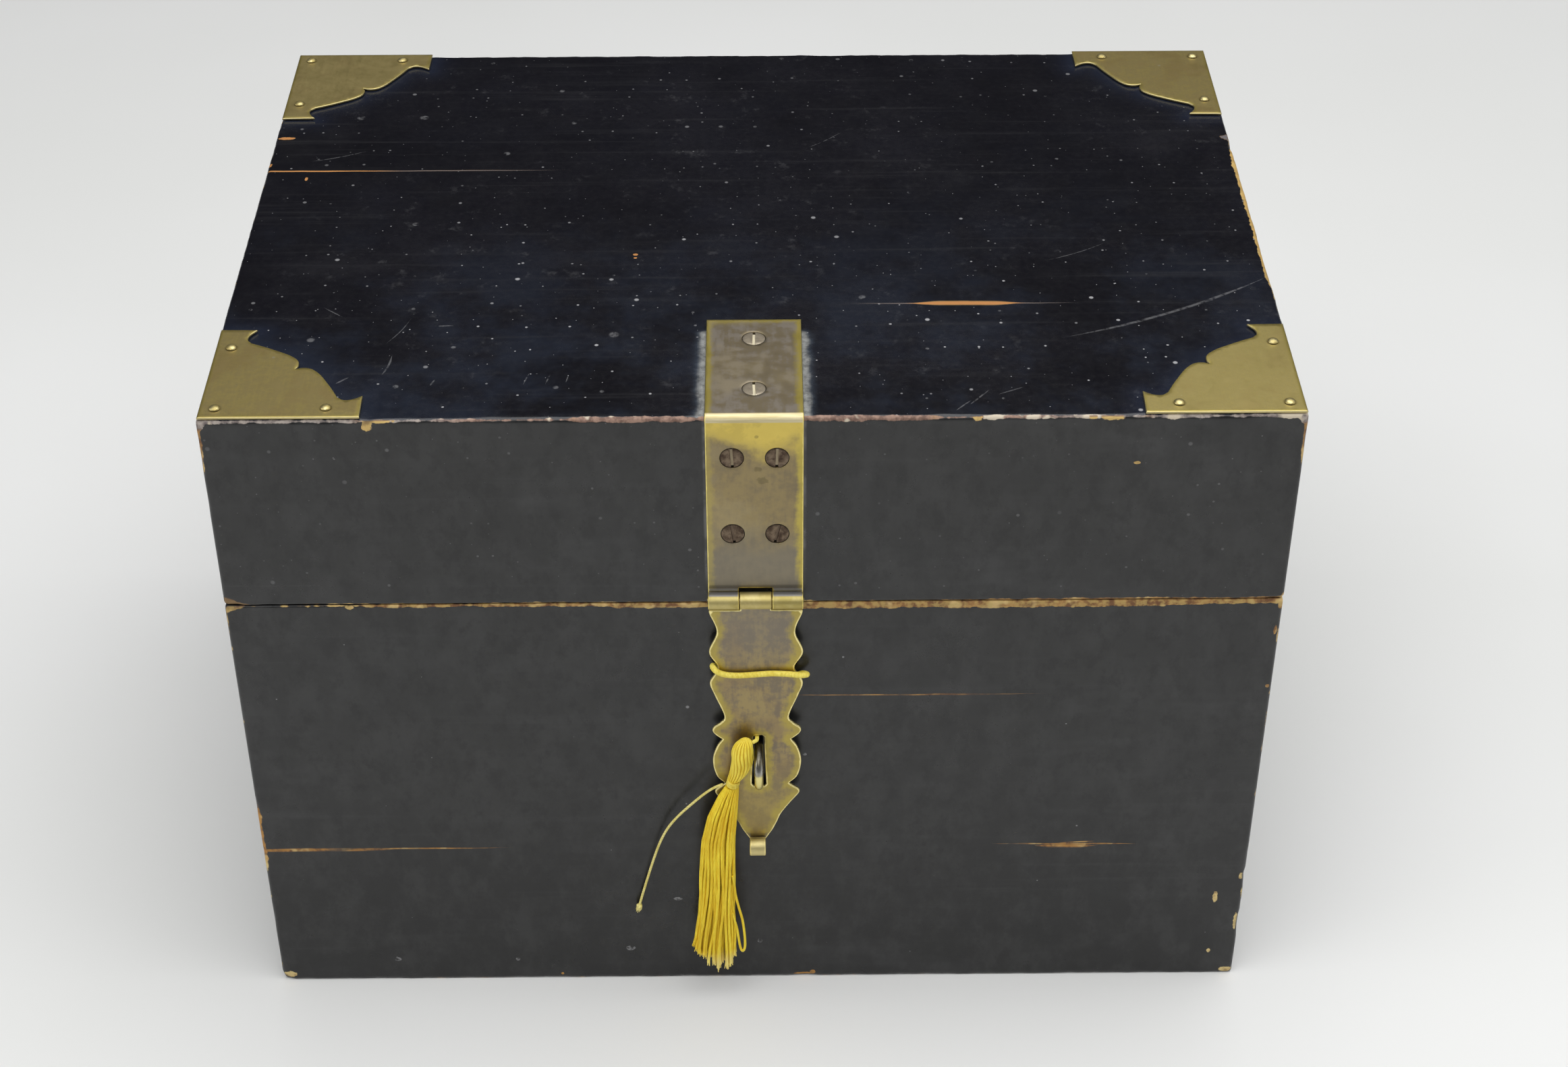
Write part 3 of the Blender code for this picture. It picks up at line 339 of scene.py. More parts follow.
class Lacquer(Graph):
    """Where a point of the lid or the body lies: on which face, and how far from the nearest arris."""

    def __init__(self, name, is_lid):
        super().__init__(name)
        low_z, high_z = (SEAM + SEAM_GAP, HEIGHT) if is_lid else (0.0, SEAM)
        in_x, in_y = WIDTH / 2 - abs(self.x), DEPTH / 2 - abs(self.y)
        in_z = (high_z - self.z) & (self.z - low_z)
        self.arris = (in_x & in_y) | ((in_x | in_y) & in_z)
        self.fine, self.chips = self.noise(420.0, 3.0, 0.6), self.noise(150.0, 2.0, 0.55)
        self.haze = self.noise(14.0, 4.0, 0.65)
        self.front = self.y.ramp(FRONT + 0.0012, FRONT + 0.0006)
        self.face = self.y.ramp(FRONT + 0.0008, FRONT + 0.0003)
        self.top = self.z.ramp(HEIGHT - 0.0006, HEIGHT - 0.0002) if is_lid else 0.0
        self.flat = self.spread(self.top)
        self.cloud = self.haze.ramp(0.30, 0.80)


def seam_corner(g):
    """The brown patch where the front's left corner meets the seam."""
    height = abs(g.z - (SEAM + 0.0005))
    ragged = (g.noise(300.0, 3.0, 0.6) - 0.5) * 0.006
    return (height * 2.6 + (g.x + WIDTH / 2) + ragged).ramp(0.0095, 0.0080) * g.face


def lid_wear(g):
    """The rubbed arrises' width, with a painted highlight line along the rest of the front arris, the marks
    down to the wood, the share of rosy wood and the scratches.
    """
    aside = abs(g.x - HASP_X)
    front, corner = g.y.ramp(FRONT + 0.0030, FRONT + 0.0018), (WIDTH / 2 - 0.004, WIDTH / 2 - 0.002)
    high, low = g.z.ramp(HEIGHT - 0.0040, HEIGHT - 0.0025), g.z.ramp(SEAM + 0.0030, SEAM + 0.0020)
    front_high = front * high
    by_strap = aside.between(0.012, 0.0575, 0.0035) * front_high * 0.00115
    by_plates = aside.ramp(0.120, 0.128) * front_high * 0.00075
    # Painted highlight: along the rest of the front arris the rubbed band is widened in rosy and ashy wood to
    # stand for the arris's bright line.
    arris_highlight = aside.ramp(0.052, 0.060) * aside.ramp(0.128, 0.120) * front_high * 0.00050
    right_run = g.y.between(-0.050, 0.050, 0.008) * g.x.ramp(*corner) * high * 0.00135
    corners = g.z.ramp(0.226, 0.249) * front * abs(g.x).ramp(*corner) * 0.0013
    seam_run = g.x.ramp(0.040, 0.090) * front * low * 0.00055
    grow = by_strap + by_plates + arris_highlight + right_run + corners + seam_run
    above = g.marks(g.line, g.x, g.y, LID_CRACKS) | g.marks(g.spot, g.x, g.y, LID_SPOTS)
    marks = above * g.top | g.marks(g.spot, g.x, g.z, LID_FRONT_SPOTS) * g.face | seam_corner(g)
    rosy = (by_strap | by_plates * 1.5 | arris_highlight * 2.3) / 0.00115
    scratches = g.marks(g.line, g.x, g.y, LID_SCRATCHES, wander=0.0002) * g.top
    in_front = g.marks(g.line, g.x, g.z, LID_FRONT_SCRATCHES) * g.face * 0.5
    return grow, marks, rosy, scratches | in_front


def body_wear(g):
    """The width of the body's rubbed arrises and its marks down to the wood."""
    front, high = g.y.ramp(FRONT + 0.0040, FRONT + 0.0028), g.z.ramp(SEAM - 0.0045, SEAM - 0.0035)
    left = g.x.ramp(0.004 - WIDTH / 2, 0.002 - WIDTH / 2)
    right_run = g.x.ramp(0.012, 0.016) * g.x.ramp(0.175, 0.110, 0.00125, 0.0024)
    near_run = g.x.between(-0.047, -0.014, 0.002) * 0.0014
    far_run = g.x.between(-0.128, -0.046, 0.004) * 0.0007
    left_run = g.z.between(0.058, 0.088, 0.006) * left * front * 0.0011
    torn = g.noise(1.0, 3.0, 0.6, (70.0, 70.0, 1100.0)).ramp(0.36, 0.58, 0.25, 0.95)
    marks = g.marks(g.line, g.x, g.z, BODY_CRACKS) * torn | g.marks(g.spot, g.x, g.z, BODY_SPOTS)
    return (right_run + near_run + far_run) * front * high + left_run, marks * g.face | seam_corner(g)


def bare_wood(g, orange):
    """Brown wood with pale flecks, and orange where the mask says."""
    wood = g.mix(g.noise(210.0, 3.0, 0.6).ramp(0.36, 0.64), (0.16, 0.070, 0.026), (0.43, 0.235, 0.072))
    wood = wood.tint(g.chips.ramp(0.56, 0.66), (0.60, 0.42, 0.17))
    return wood.tint(orange * g.fine.ramp(0.35, 0.60) * 0.60, (0.50, 0.235, 0.040))


def dusky(g, wood):
    """The wood, darker at the seam's left end."""
    corner = g.x.ramp(0.012 - WIDTH / 2, 0.008 - WIDTH / 2) * g.z.between(SEAM - 0.006, SEAM + 0.006, 0.001)
    return wood.tint(corner * g.chips.ramp(0.62, 0.54) * 0.8, (0.150, 0.082, 0.045))


def lid_wood(g, marks, rosy):
    """The lid's wood: rosy or ashy along the front, where it also paints the front arris's highlight line,
    gilt behind it, red-brown in the cracks on top.
    """
    speckle = g.fine.ramp(0.36, 0.66)
    rose = g.mix(speckle, (0.150, 0.085, 0.062), (0.34, 0.215, 0.160))
    ashy = g.mix(speckle, (0.140, 0.115, 0.110), (0.40, 0.35, 0.31))
    rose = rose.tint(abs(g.x).ramp(0.085, 0.110), ashy).tint(g.chips.ramp(0.57, 0.65), (0.60, 0.52, 0.40))
    gilt = g.y.ramp(-0.085, -0.060) * g.z.ramp(HEIGHT - 0.0050, HEIGHT - 0.0030) * 0.6
    wood = bare_wood(g, g.y.ramp(-0.060, -0.020)).tint(gilt, (0.46, 0.33, 0.105))
    wood = wood.tint(rosy * (1.0 - marks), rose)
    wood = dusky(g, wood.tint(marks * g.front * g.fine.ramp(0.30, 0.55, 0.55, 1.0), (0.62, 0.43, 0.15)))
    above = marks * g.top
    left_end = g.x.ramp(-0.142, -0.124) * g.x.ramp(-0.055, -0.060)
    middle_ends = abs(g.x - 0.071).ramp(0.015, 0.021) * g.x.ramp(0.018, 0.022)
    wood = wood.tint(above * 0.85, (0.43, 0.165, 0.042)).tint(above * left_end, (0.085, 0.078, 0.082))
    return wood.tint(above * middle_ends, (0.115, 0.105, 0.110))


def body_wood(g):
    """The body's wood: pale at the lower corners, yellow along the upper arris."""
    wood = dusky(g, bare_wood(g, g.z.ramp(0.100, 0.080)))
    pale = g.z.ramp(0.062, 0.058) * abs(g.x).ramp(0.145, 0.150) * g.front
    wood = wood.tint(pale * g.fine.ramp(0.36, 0.56, 0.35, 0.95), (0.72, 0.57, 0.25))
    rim = g.z.ramp(SEAM - 0.0050, SEAM - 0.0040) * g.fine.ramp(0.42, 0.60)
    return wood.tint(rim * 0.55, (0.47, 0.35, 0.115))


def near_strap(g):
    """Dust on the lid's top, thickest against the strap's sides."""
    aside = abs(g.x - HASP_X) - HASP_WIDTH / 2 | 0.0
    behind = (g.y - (FRONT + STRAP_TOP_LENGTH - 0.006) | 0.0) * 1.6
    return (g.distance(aside, behind) + (g.chips - 0.5) * 0.0034).ramp(0.0062, 0.0002) ** 2.0


def lid_tone(g, scratches):
    """The lid's black, bluer on top, with dust round the strap, and the mask of its specks and scratches."""
    tone = g.mix(g.cloud, (0.0030, 0.0028, 0.0042), (0.0050, 0.0048, 0.0078))
    tone = g.mix(g.top, (0.0135, 0.0135, 0.0135), tone)
    tone = tone.tint(g.top * g.layer("near_plate") * 0.60, (0.014, 0.020, 0.040))
    blue = g.top * g.noise(22.0, 4.0, 0.65).ramp(0.42, 0.66) * g.y.ramp(0.040, -0.110, 0.05, 0.70)
    halo = near_strap(g)
    dust = g.top * halo * g.noise(320.0, 4.0, 0.75).ramp(0.26, 0.66, 0.35, 1.0)
    dust_colour = g.mix(halo.ramp(0.25, 0.75), (0.10, 0.13, 0.17), (0.42, 0.43, 0.42))
    tone = tone.tint(blue, (0.013, 0.017, 0.028)).tint(dust * 0.72, dust_colour)
    near = g.y.ramp(0.100, -0.110, 0.40, 1.0) * g.noise(33.0, 2.0).ramp(0.30, 0.62, 0.35, 1.0)
    dots = (g.specks(g.flat, 75.0, 0.60, 0.00105) | g.specks(g.flat, 150.0, 0.40, 0.00055, 0.3)) * near
    soft = g.specks(g.flat, 40.0, 0.50, 0.0020, 0.1) * g.fine.ramp(0.36, 0.60) * 0.26
    faint = g.noise(120.0, 4.0, 0.75).ramp(0.56, 0.78) * g.haze.ramp(0.42, 0.62) * 0.10
    scored = scratches * g.fine.ramp(0.30, 0.60) * 0.24
    dots = (dots | (soft | faint) * g.top | scored) * g.top.ramp(0.0, 1.0, 0.22, 1.0)
    fringe = g.front * (abs(g.x - HASP_X) - HASP_WIDTH / 2).ramp(0.0013, 0.0002)
    fringe = fringe * g.chips.ramp(0.38, 0.58, 0.3, 1.0) * g.z.ramp(0.180, 0.195)
    return tone, dots | fringe * 0.42


def body_tone(g):
    """The body's black, with painted shade deepening it towards its foot, and the mask of its specks and
    bruises.
    """
    tone = g.mix(g.cloud, (0.0110, 0.0110, 0.0112), (0.0155, 0.0155, 0.0151))
    # Painted shade: darker towards the foot, standing for the shaded floor that the lower front mirrors.
    tone = tone.tint(g.z.ramp(0.110, 0.030, 0.0, 0.85), (0.0040, 0.0040, 0.0042))
    dots = g.specks(g.flat, 38.0, 0.14, 0.0008) | g.specks(g.flat, 80.0, 0.06, 0.00045, 0.3)
    bruises = g.marks(g.spot, g.x, g.z, BODY_BRUISES) * g.front * g.fine.ramp(0.35, 0.55)
    return tone, dots * 0.6 | bruises * 0.55


def lacquer_material(name, is_lid):
    """Black lacquer over wood: satin, dusty, rubbed through along the arrises, with a painted highlight line
    along the lid's front arris, and split along boards.
    """
    g = Lacquer(name, is_lid)
    if is_lid:
        grow, marks, rosy, scratches = lid_wear(g)
        wood, (tone, dots) = lid_wood(g, marks, rosy), lid_tone(g, scratches)
    else:
        grow, marks = body_wear(g)
        wood, (tone, dots) = body_wood(g), body_tone(g)
    reach = grow + 0.00012 + (g.chips - 0.5) * 0.0022 + (g.fine - 0.5) * 0.0011
    rubbed = g.arris.ramp(reach + 0.00018, reach - 0.00012)
    bare = rubbed | marks
    grain = g.noise(1.0, 3.0, 0.6, (9.0, 240.0, 240.0))
    veil = g.noise(1.0, 4.0, 0.7, (90.0, 90.0, 55.0)).ramp(0.38, 0.70) * g.blend(g.top, 0.48, 0.06)
    murk = g.noise(1.0, 4.0, 0.7, (160.0, 160.0, 110.0)).ramp(0.46, 0.68) * g.blend(g.top, 0.60, 0.0)
    smear = g.noise(1.0, 3.0, 0.6, (16.0, 22.0, 60.0)).ramp(0.56, 0.78) * g.blend(g.top, 1.0, 0.25)
    patch = g.noise(1.0, 4.0, 0.7, (70.0, 70.0, 110.0)).ramp(0.40, 0.66) * g.blend(g.top, 1.0, 0.0)
    tone = tone.tint(grain.ramp(0.54, 0.80, 0.0, 0.32), (0.034, 0.034, 0.036))
    tone = tone.tint(veil, (0.034, 0.034, 0.034)).tint(murk, (0.0025, 0.0025, 0.0028))
    colour = tone.tint(dots * 0.75, (0.46, 0.46, 0.47)).tint(smear * 0.035, (0.35, 0.35, 0.36))
    satin = (g.haze * 0.5 + g.fine * 0.5).ramp(0.30, 0.70, 0.24, 0.40) * g.blend(g.top, 1.0, 0.78)
    g.bump(g.fine * 0.10 + grain * 0.35 - rubbed * 0.9, 0.35, 0.00012)
    return g.finish(colour.tint(bare, wood), g.blend(bare, satin + patch * 0.055 + smear * 0.10, 0.72))


# Metal, silk and floor

class Brass(Graph):
    """Aged brass: a tarnished centre, a yellower border and a thin pale edge, rubbed brass with a painted
    bevel highlight, finely mottled.
    """

    def __init__(self, name, dull, warm, spread=(0.38, 0.62)):
        super().__init__(name)
        self.edge, self.run = self.layer("edge_mm"), self.layer("run_mm")
        self.cloud, self.mottle = self.noise(90.0, 4.0, 0.65), self.noise(360.0, 3.0, 0.6)
        self.brush = self.noise(1.0, 3.0, 0.6, (700.0, 70.0, 110.0))
        self.shade = self.cloud * 0.5 + self.mottle * 0.25 + self.brush * 0.25
        self.body = self.mix(self.shade.ramp(*spread), warm, dull)

    def coat(self, mask, colour):
        self.body = self.body.tint(mask, colour)

    def border(self, colour, reach, strength):
        uneven = self.edge + (self.shade - 0.5) * (reach * 2.0)
        self.coat(uneven.ramp(reach, reach * 0.25) * strength, colour)

    def close(self, lip, reach, soft=0.0, soft_rough=0.56, lip_rough=0.36):
        """The finished material, with its pale lip, rubbed brass with a painted bevel highlight, and a softer
        sheen where the soft mask says.
        """
        # The pale lip is wear on the edge and a painted highlight of its bevel.
        rubbed = (self.edge + (self.mottle - 0.5) * reach).ramp(reach, reach * 0.4)
        self.coat(rubbed, lip)
        rough = self.blend(rubbed, self.shade.ramp(0.3, 0.7, 0.40, 0.52), lip_rough)
        self.bump(self.mottle * 0.5 + self.brush * 0.5 + self.cloud * 0.7, 0.20, 0.00015)
        return self.finish(self.body, self.blend(soft, rough, soft_rough), Metallic=1.0)


def strap_material():
    """The strap: bright yellow over the bend, polished brass with a painted highlight, going brown and grey
    downwards and on top; dirt and painted shade above the barrel, and a painted grey reflection on its top.
    """
    g = Brass("strap_brass", (0.235, 0.190, 0.120), (0.300, 0.236, 0.122))
    start, end, roll = BEND_START / MM, BEND_END / MM, STRAP_ROLL_START / MM
    rear = FRONT + STRAP_TOP_LENGTH
    top = g.run.ramp(start + 0.2, start - 0.2)
    low = g.run + (g.cloud - 0.5) * 12.0
    aside = abs(g.x - (HASP_X + 0.003))
    g.coat(top * g.shade.ramp(0.44, 0.56, 0.35, 0.95), (0.33, 0.29, 0.235))
    g.coat(g.noise(45.0, 3.0, 0.6).ramp(0.52, 0.64) * 0.40, (0.42, 0.345, 0.19))
    g.coat(low.ramp(end + 38.0, end + 54.0) * 0.75, (0.225, 0.205, 0.168))
    above_hinge = g.run.ramp(roll - 5.0, roll - 13.0) | aside.ramp(0.0100, 0.0120)
    in_front = g.x.ramp(HASP_X - 0.010, HASP_X + 0.010, 0.45, 0.95) * above_hinge
    g.border((0.50, 0.405, 0.100), 3.0, top * 0.95 | in_front)
    warm_end = top * g.y.ramp(rear - 0.0050, rear - 0.0012) * g.x.ramp(HASP_X + 0.012, HASP_X - 0.016)
    g.coat(warm_end * 0.55, (0.48, 0.39, 0.15))
    fresh = (low + aside * 380.0).ramp(end + 16.0, end + 7.0) * g.run.ramp(end - 0.8, end)
    g.coat(fresh * 0.92, (0.72, 0.56, 0.135))
    g.coat(fresh * g.cloud.ramp(0.54, 0.42) * 0.45, (0.46, 0.35, 0.095))
    stains = g.marks(g.spot, g.x, g.z, STRAP_STAINS, ragged=0.8) * g.run.ramp(end - 0.5, end)
    g.coat(stains * 0.40, (0.12, 0.10, 0.05))
    # Painted highlight: the bend is polished brass, lightened and streaked to stand for the bright strip of
    # light it catches.
    bend = g.run.between(start + 0.15, end - 0.15, 0.15)
    streaks = g.noise(1.0, 3.0, 0.6, (60.0, 900.0, 900.0)).ramp(0.35, 0.65)
    g.coat(bend, g.mix(streaks, (0.54, 0.46, 0.25), (0.66, 0.58, 0.36)))
    # Dirt and painted shade: a dark band on the strap's face just above the barrel.
    g.coat(g.run.between(roll - 5.2, roll - 3.9, 0.35) * 0.45, (0.07, 0.06, 0.05))
    # Painted reflection: a pale grey strip just above the barrel, standing for the grey the barrel's top
    # mirrors.
    g.coat(g.run.between(roll - 3.6, roll - 0.9, 0.5) * 0.80, (0.40, 0.40, 0.40))
    barrel = g.run.ramp(roll - 0.5, roll + 0.5)
    g.coat(barrel, g.mix(g.cloud.ramp(0.4, 0.6), (0.56, 0.48, 0.21), (0.46, 0.38, 0.13)))
    # Painted reflection: the top of the barrel's roll is painted grey for the dark room it mirrors.
    g.coat(g.run.ramp(roll + 12.2, roll + 12.8), (0.30, 0.30, 0.30))
    material = g.close((0.86, 0.72, 0.24), 0.42, bend | barrel)
    # Painted highlight: the lower bend is made less metallic so that it shows bright where it would mirror
    # the dark room.
    g.put(g.shader, Metallic=g.run.between(end - 1.7, end + 0.05, 0.25) * -0.70 + 1.0)
    return material


def leaf_material():
    """The leaf: greyer under the hinge, yellower towards its edges and its tip, with painted shade on the
    tongue under the scroll's curl.
    """
    g = Brass("leaf_brass", (0.235, 0.195, 0.140), (0.345, 0.270, 0.135), (0.42, 0.58))
    start = LEAF_ROLL_START / MM
    g.coat(g.noise(48.0, 3.0, 0.6).ramp(0.50, 0.62) * 0.45, (0.26, 0.19, 0.115))
    g.coat(g.z.ramp(0.145, 0.170) * 0.55, (0.24, 0.215, 0.18))
    g.coat(g.z.ramp(0.115, 0.085) * 0.50, (0.37, 0.285, 0.085))
    under = g.z.ramp(0.1745, 0.1695) | abs(g.x - HASP_X).ramp(0.0112, 0.0122)
    g.border((0.45, 0.360, 0.090), 4.0, under * g.run.ramp(start - 1.0, start - 7.0, 0.0, 0.85))
    # Painted shade: a dark band on the tongue just above the scroll, which curls over it.
    g.coat(g.run.between(start - 4.5, start - 0.8, 0.8) * 0.60, (0.15, 0.13, 0.10))
    rolled = g.run.ramp(start - 0.3, start + 0.5) | g.z.ramp(0.1763, 0.1770)
    g.coat(rolled, g.mix(g.cloud.ramp(0.4, 0.6), (0.66, 0.57, 0.28), (0.54, 0.45, 0.18)))
    return g.close((0.92, 0.80, 0.36), 0.66, rolled)


def plate_material():
    """The corner plates: olive brass, the front-right and back-left ones painted yellower for light, with a
    thin pale edge and a ring of painted shade round each nail.
    """
    g = Brass("plate_brass", (0.40, 0.320, 0.135), (0.60, 0.485, 0.185), (0.36, 0.60))
    g.coat(g.noise(60.0, 3.0, 0.6).ramp(0.50, 0.62) * 0.40, (0.40, 0.290, 0.120))
    g.coat(g.specks(g.spread(1.0), 90.0, 0.25, 0.0007) * 0.5, (0.62, 0.58, 0.46))
    # Painted light and reflection: the front-right and back-left plates are painted yellower for the brighter
    # light they catch.
    g.coat(g.x.ramp(0.0, 0.120) * g.y.ramp(0.0, -0.080) * 0.40, (0.62, 0.52, 0.185))
    g.coat(g.x.ramp(0.0, -0.120) * g.y.ramp(0.0, 0.080) * 0.40, (0.66, 0.545, 0.24))
    g.border((0.48, 0.39, 0.105), 1.6, 0.7)
    in_x, in_y = WIDTH / 2 - abs(g.x), DEPTH / 2 - abs(g.y)
    # Painted shade: a dark ring round each nail, where its head sits on the plate.
    for u, v in ((NAIL_NEAR, NAIL_NEAR), (NAIL_FAR, NAIL_NEAR), (NAIL_NEAR, NAIL_FAR)):
        g.coat(g.distance(in_x - u, in_y - v).ramp(0.0025, 0.0019) * 0.35, (0.13, 0.10, 0.05))
    return g.close((0.56, 0.48, 0.24), 0.30, lip_rough=0.44)


def metal_graph(name, dark, light, scale):
    """A small metal part's graph, its mottling and its colour in two tones."""
    g = Graph(name)
    shade = g.noise(scale, 4.0, 0.65)
    return g, shade, g.mix(shade.ramp(0.35, 0.68), dark, light)


def plain_metal(name, dark, light, roughness, scale=300.0, slot=None):
    """A small metal part with a worn grain, and another colour in its slot."""
    g, shade, colour = metal_graph(name, dark, light, scale)
    if slot:
        colour = colour.tint(g.layer("in_slot"), slot)
    g.bump(g.noise(scale * 2.2, 3.0, 0.6), 0.25, 0.00012)
    return g.finish(colour, shade.ramp(0.3, 0.7, roughness + 0.10, roughness - 0.05), Metallic=1.0)


def staple_material():
    """Painted shade at the top of the staple, a painted grey highlight below it and yellow at its foot."""
    g, shade, colour = metal_graph("staple_wire", (0.22, 0.195, 0.13), (0.42, 0.39, 0.30), 260.0)
    # Painted shade on the wire's top.
    colour = colour.tint(g.z.ramp(0.1148, 0.1172) * 0.80, (0.035, 0.032, 0.028))
    # Painted highlight: a grey band below the shade.
    colour = colour.tint(g.z.between(0.1118, 0.1146, 0.0010) * 0.70, (0.46, 0.455, 0.43))
    colour = colour.tint(g.z.ramp(0.1118, 0.1106) * 0.92, (0.78, 0.68, 0.27))
    g.bump(g.noise(600.0, 3.0, 0.6), 0.25, 0.0001)
    return g.finish(colour, shade.ramp(0.3, 0.7, 0.36, 0.24), Metallic=1.0)


def silk_material(name, pitch, deep, bright, strength, hollow=False, tips=0.0):
    """Yellow silk: two plies that twist round their own length, in mixed golds, with painted shade in the
    grooves between the plies and, on the tassel's head, between its threads.
    """
    g = Graph(name)
    along, around, _ = g.split(g.coordinates("UV"))
    ply = g.maths("SINE", along * (2 * math.pi / pitch) + around * (4 * math.pi)) * 0.5 + 0.5
    strand = g.noise(1.0, 3.0, 0.7, (1100.0, 1100.0, 60.0))
    colour = g.mix((g.noise(70.0, 3.0, 0.6) * 0.4 + strand * 0.6).ramp(0.36, 0.62), deep, bright)
    # Painted shade in the grooves between the plies.
    colour = colour.tint(ply.ramp(0.45, 0.0) * strength, tuple(c * 0.62 for c in deep))
    if tips:
        colour = colour.tint(g.z.ramp(tips + 0.0065, tips) * 0.5, (1.0, 0.90, 0.42))
    # Painted shade in the hollows between the head's threads.
    if hollow:
        colour = colour.tint(g.layer("hollow") * 0.75, (0.56, 0.33, 0.012))
    g.bump(ply * strength + strand * 0.6, 0.5, 0.00018)
    return g.finish(colour, strand.ramp(0.3, 0.7, 0.62, 0.50), Specular_IOR_Level=0.25, Sheen_Weight=0.08,
                    Sheen_Tint=(1.0, 0.75, 0.2, 1.0))


def floor_material():
    """A pale studio floor, faintly mottled."""
    g = Graph("studio_floor")
    colour = g.mix(g.noise(3.0).ramp(0.3, 0.7), (0.785, 0.790, 0.770), (0.815, 0.818, 0.805))
    return g.finish(colour, 0.62, Specular_IOR_Level=0.2)


# Meshes

def add_object(name, data):
    obj = bpy.data.objects.new(name, data)
    bpy.context.scene.collection.objects.link(obj)
    return obj


def soften_shading(mesh, angle):
    mesh.shade_smooth()
    mesh.set_sharp_from_angle(angle=math.radians(angle))


def mesh_object(name, bm, material, smooth):
    """An object from a bmesh, shaded smooth below an angle in degrees."""
    bmesh.ops.recalc_face_normals(bm, faces=bm.faces)
    mesh = bpy.data.meshes.new(name)
    bm.to_mesh(mesh)
    bm.free()
    soften_shading(mesh, smooth)
    mesh.materials.append(material)
    return add_object(name, mesh)


def build(name, verts, faces, material, smooth=40.0):
    mesh = bpy.data.meshes.new(name)
    mesh.from_pydata([tuple(v) for v in verts], [], faces)
    mesh.validate()
    bm = bmesh.new()
    bm.from_mesh(mesh)
    bpy.data.meshes.remove(mesh)
    return mesh_object(name, bm, material, smooth)


def set_layer(obj, name, values):
    layer = obj.data.attributes.new(name=name, type="FLOAT", domain="POINT")
    layer.data.foreach_set("value", np.asarray(values, np.float32))


def catmull(points, steps):
    """A smooth curve through points, in steps to each span."""
    pts = [np.array(p, float) for p in points]
    pts = [2 * pts[0] - pts[1]] + pts + [2 * pts[-1] - pts[-2]]
    curve = []
    for a, b, c, d in zip(pts, pts[1:], pts[2:], pts[3:]):
        for t in (i / steps for i in range(steps)):
            curve.append(0.5 * (2 * b + (c - a) * t + (2 * a - 5 * b + 4 * c - d) * t ** 2
                                + (3 * b - a - 3 * c + d) * t ** 3))
    return curve + [pts[-2]]


def edge_curve(stretches, steps):
    """Smooth stretches that meet at corners."""
    run = [p for stretch in stretches for p in catmull(stretch, steps)[:-1]]
    return [tuple(p) for p in run + [np.array(stretches[-1][-1])]]


def circle(centre, radius, count=40):
    turns = [2 * math.pi * i / count for i in range(count)]
    return [(centre[0] + radius * math.cos(a), centre[1] + radius * math.sin(a)) for a in turns]


def split_loop(points, spacing):
    """A closed loop with its corners kept and long sides split."""
    pts = [np.array(p, float) for p in points]
    out = []
    for a, b in zip(pts, pts[1:] + pts[:1]):
        length = np.linalg.norm(b - a)
        if length < 1e-7:
            continue
        count = max(1, math.ceil(length / spacing))
        out.extend(a + (b - a) * i / count for i in range(count))
    return np.array(out)


def signed_area(loop):
    x, y = loop[:, 0], loop[:, 1]
    return 0.5 * float(np.sum(x * np.roll(y, -1) - np.roll(x, -1) * y))


def offset_loop(loop, distance):
    """The loop moved to its left by a distance, with mitres held short."""
    before, after = loop - np.roll(loop, 1, 0), np.roll(loop, -1, 0) - loop
    n1, n2 = (np.c_[-d[:, 1], d[:, 0]] / np.linalg.norm(d, axis=1)[:, None] for d in (before, after))
    middle = n1 + n2
    middle /= np.maximum(np.linalg.norm(middle, axis=1), 1e-6)[:, None]
    grow = np.minimum(1.0 / np.maximum(np.sum(middle * n1, axis=1), 0.35), 1.6)
    return loop + middle * (distance * grow)[:, None]


def inside(points, loop):
    """Which points lie inside a closed loop."""
    x, y = points[:, 0][:, None], points[:, 1][:, None]
    ax, ay = loop[:, 0][None], loop[:, 1][None]
    bx, by = np.roll(loop[:, 0], -1)[None], np.roll(loop[:, 1], -1)[None]
    with np.errstate(divide="ignore", invalid="ignore"):
        crosses = ((ay > y) != (by > y)) & (x < (bx - ax) * (y - ay) / (by - ay) + ax)
    return crosses.sum(1) % 2 == 1


def on_sheet(points, loops):
    """Which points lie inside the first loop and outside the others, the holes."""
    good = inside(points, loops[0])
    for hole in loops[1:]:
        good &= ~inside(points, hole)
    return good


def distance_to(points, loops):
    """Each point's distance to the nearest side of the loops."""
    best = np.full(len(points), 1e9)
    for loop in loops:
        for start, along in zip(loop, np.roll(loop, -1, 0) - loop):
            share = np.clip((points - start) @ along / max(float(along @ along), 1e-14), 0.0, 1.0)
            best = np.minimum(best, np.linalg.norm(points - start - share[:, None] * along, axis=1))
    return best


def band(upper, lower):
    """Faces between two rings of vertex numbers, either of which may be a single vertex."""
    count, faces = max(len(upper), len(lower)), []
    for i in range(count):
        k = (i + 1) % count
        corners = (upper[i % len(upper)], upper[k % len(upper)], lower[k % len(lower)], lower[i % len(lower)])
        faces.append(tuple(dict.fromkeys(corners)))
    return faces


def triangulate(loops, grid):
    """Fill the sheet between loops: its points, its triangles and the new number of each loop's point."""
    flat, edges = [], []
    for loop in loops:
        first = len(flat)
        flat.extend(loop)
        edges.extend((first + i, first + (i + 1) % len(loop)) for i in range(len(loop)))
    flat.extend(grid)
    found = delaunay_2d_cdt([Vector(p) for p in flat], edges, [], 0, 1e-7)
    points = np.array([tuple(p) for p in found[0]])
    good = on_sheet(np.array([points[list(t)].mean(0) for t in found[2]]), loops)
    new_number = {source: i for i, sources in enumerate(found[3]) for source in sources}
    return points, [tuple(t) for t, ok in zip(found[2], good) if ok], new_number


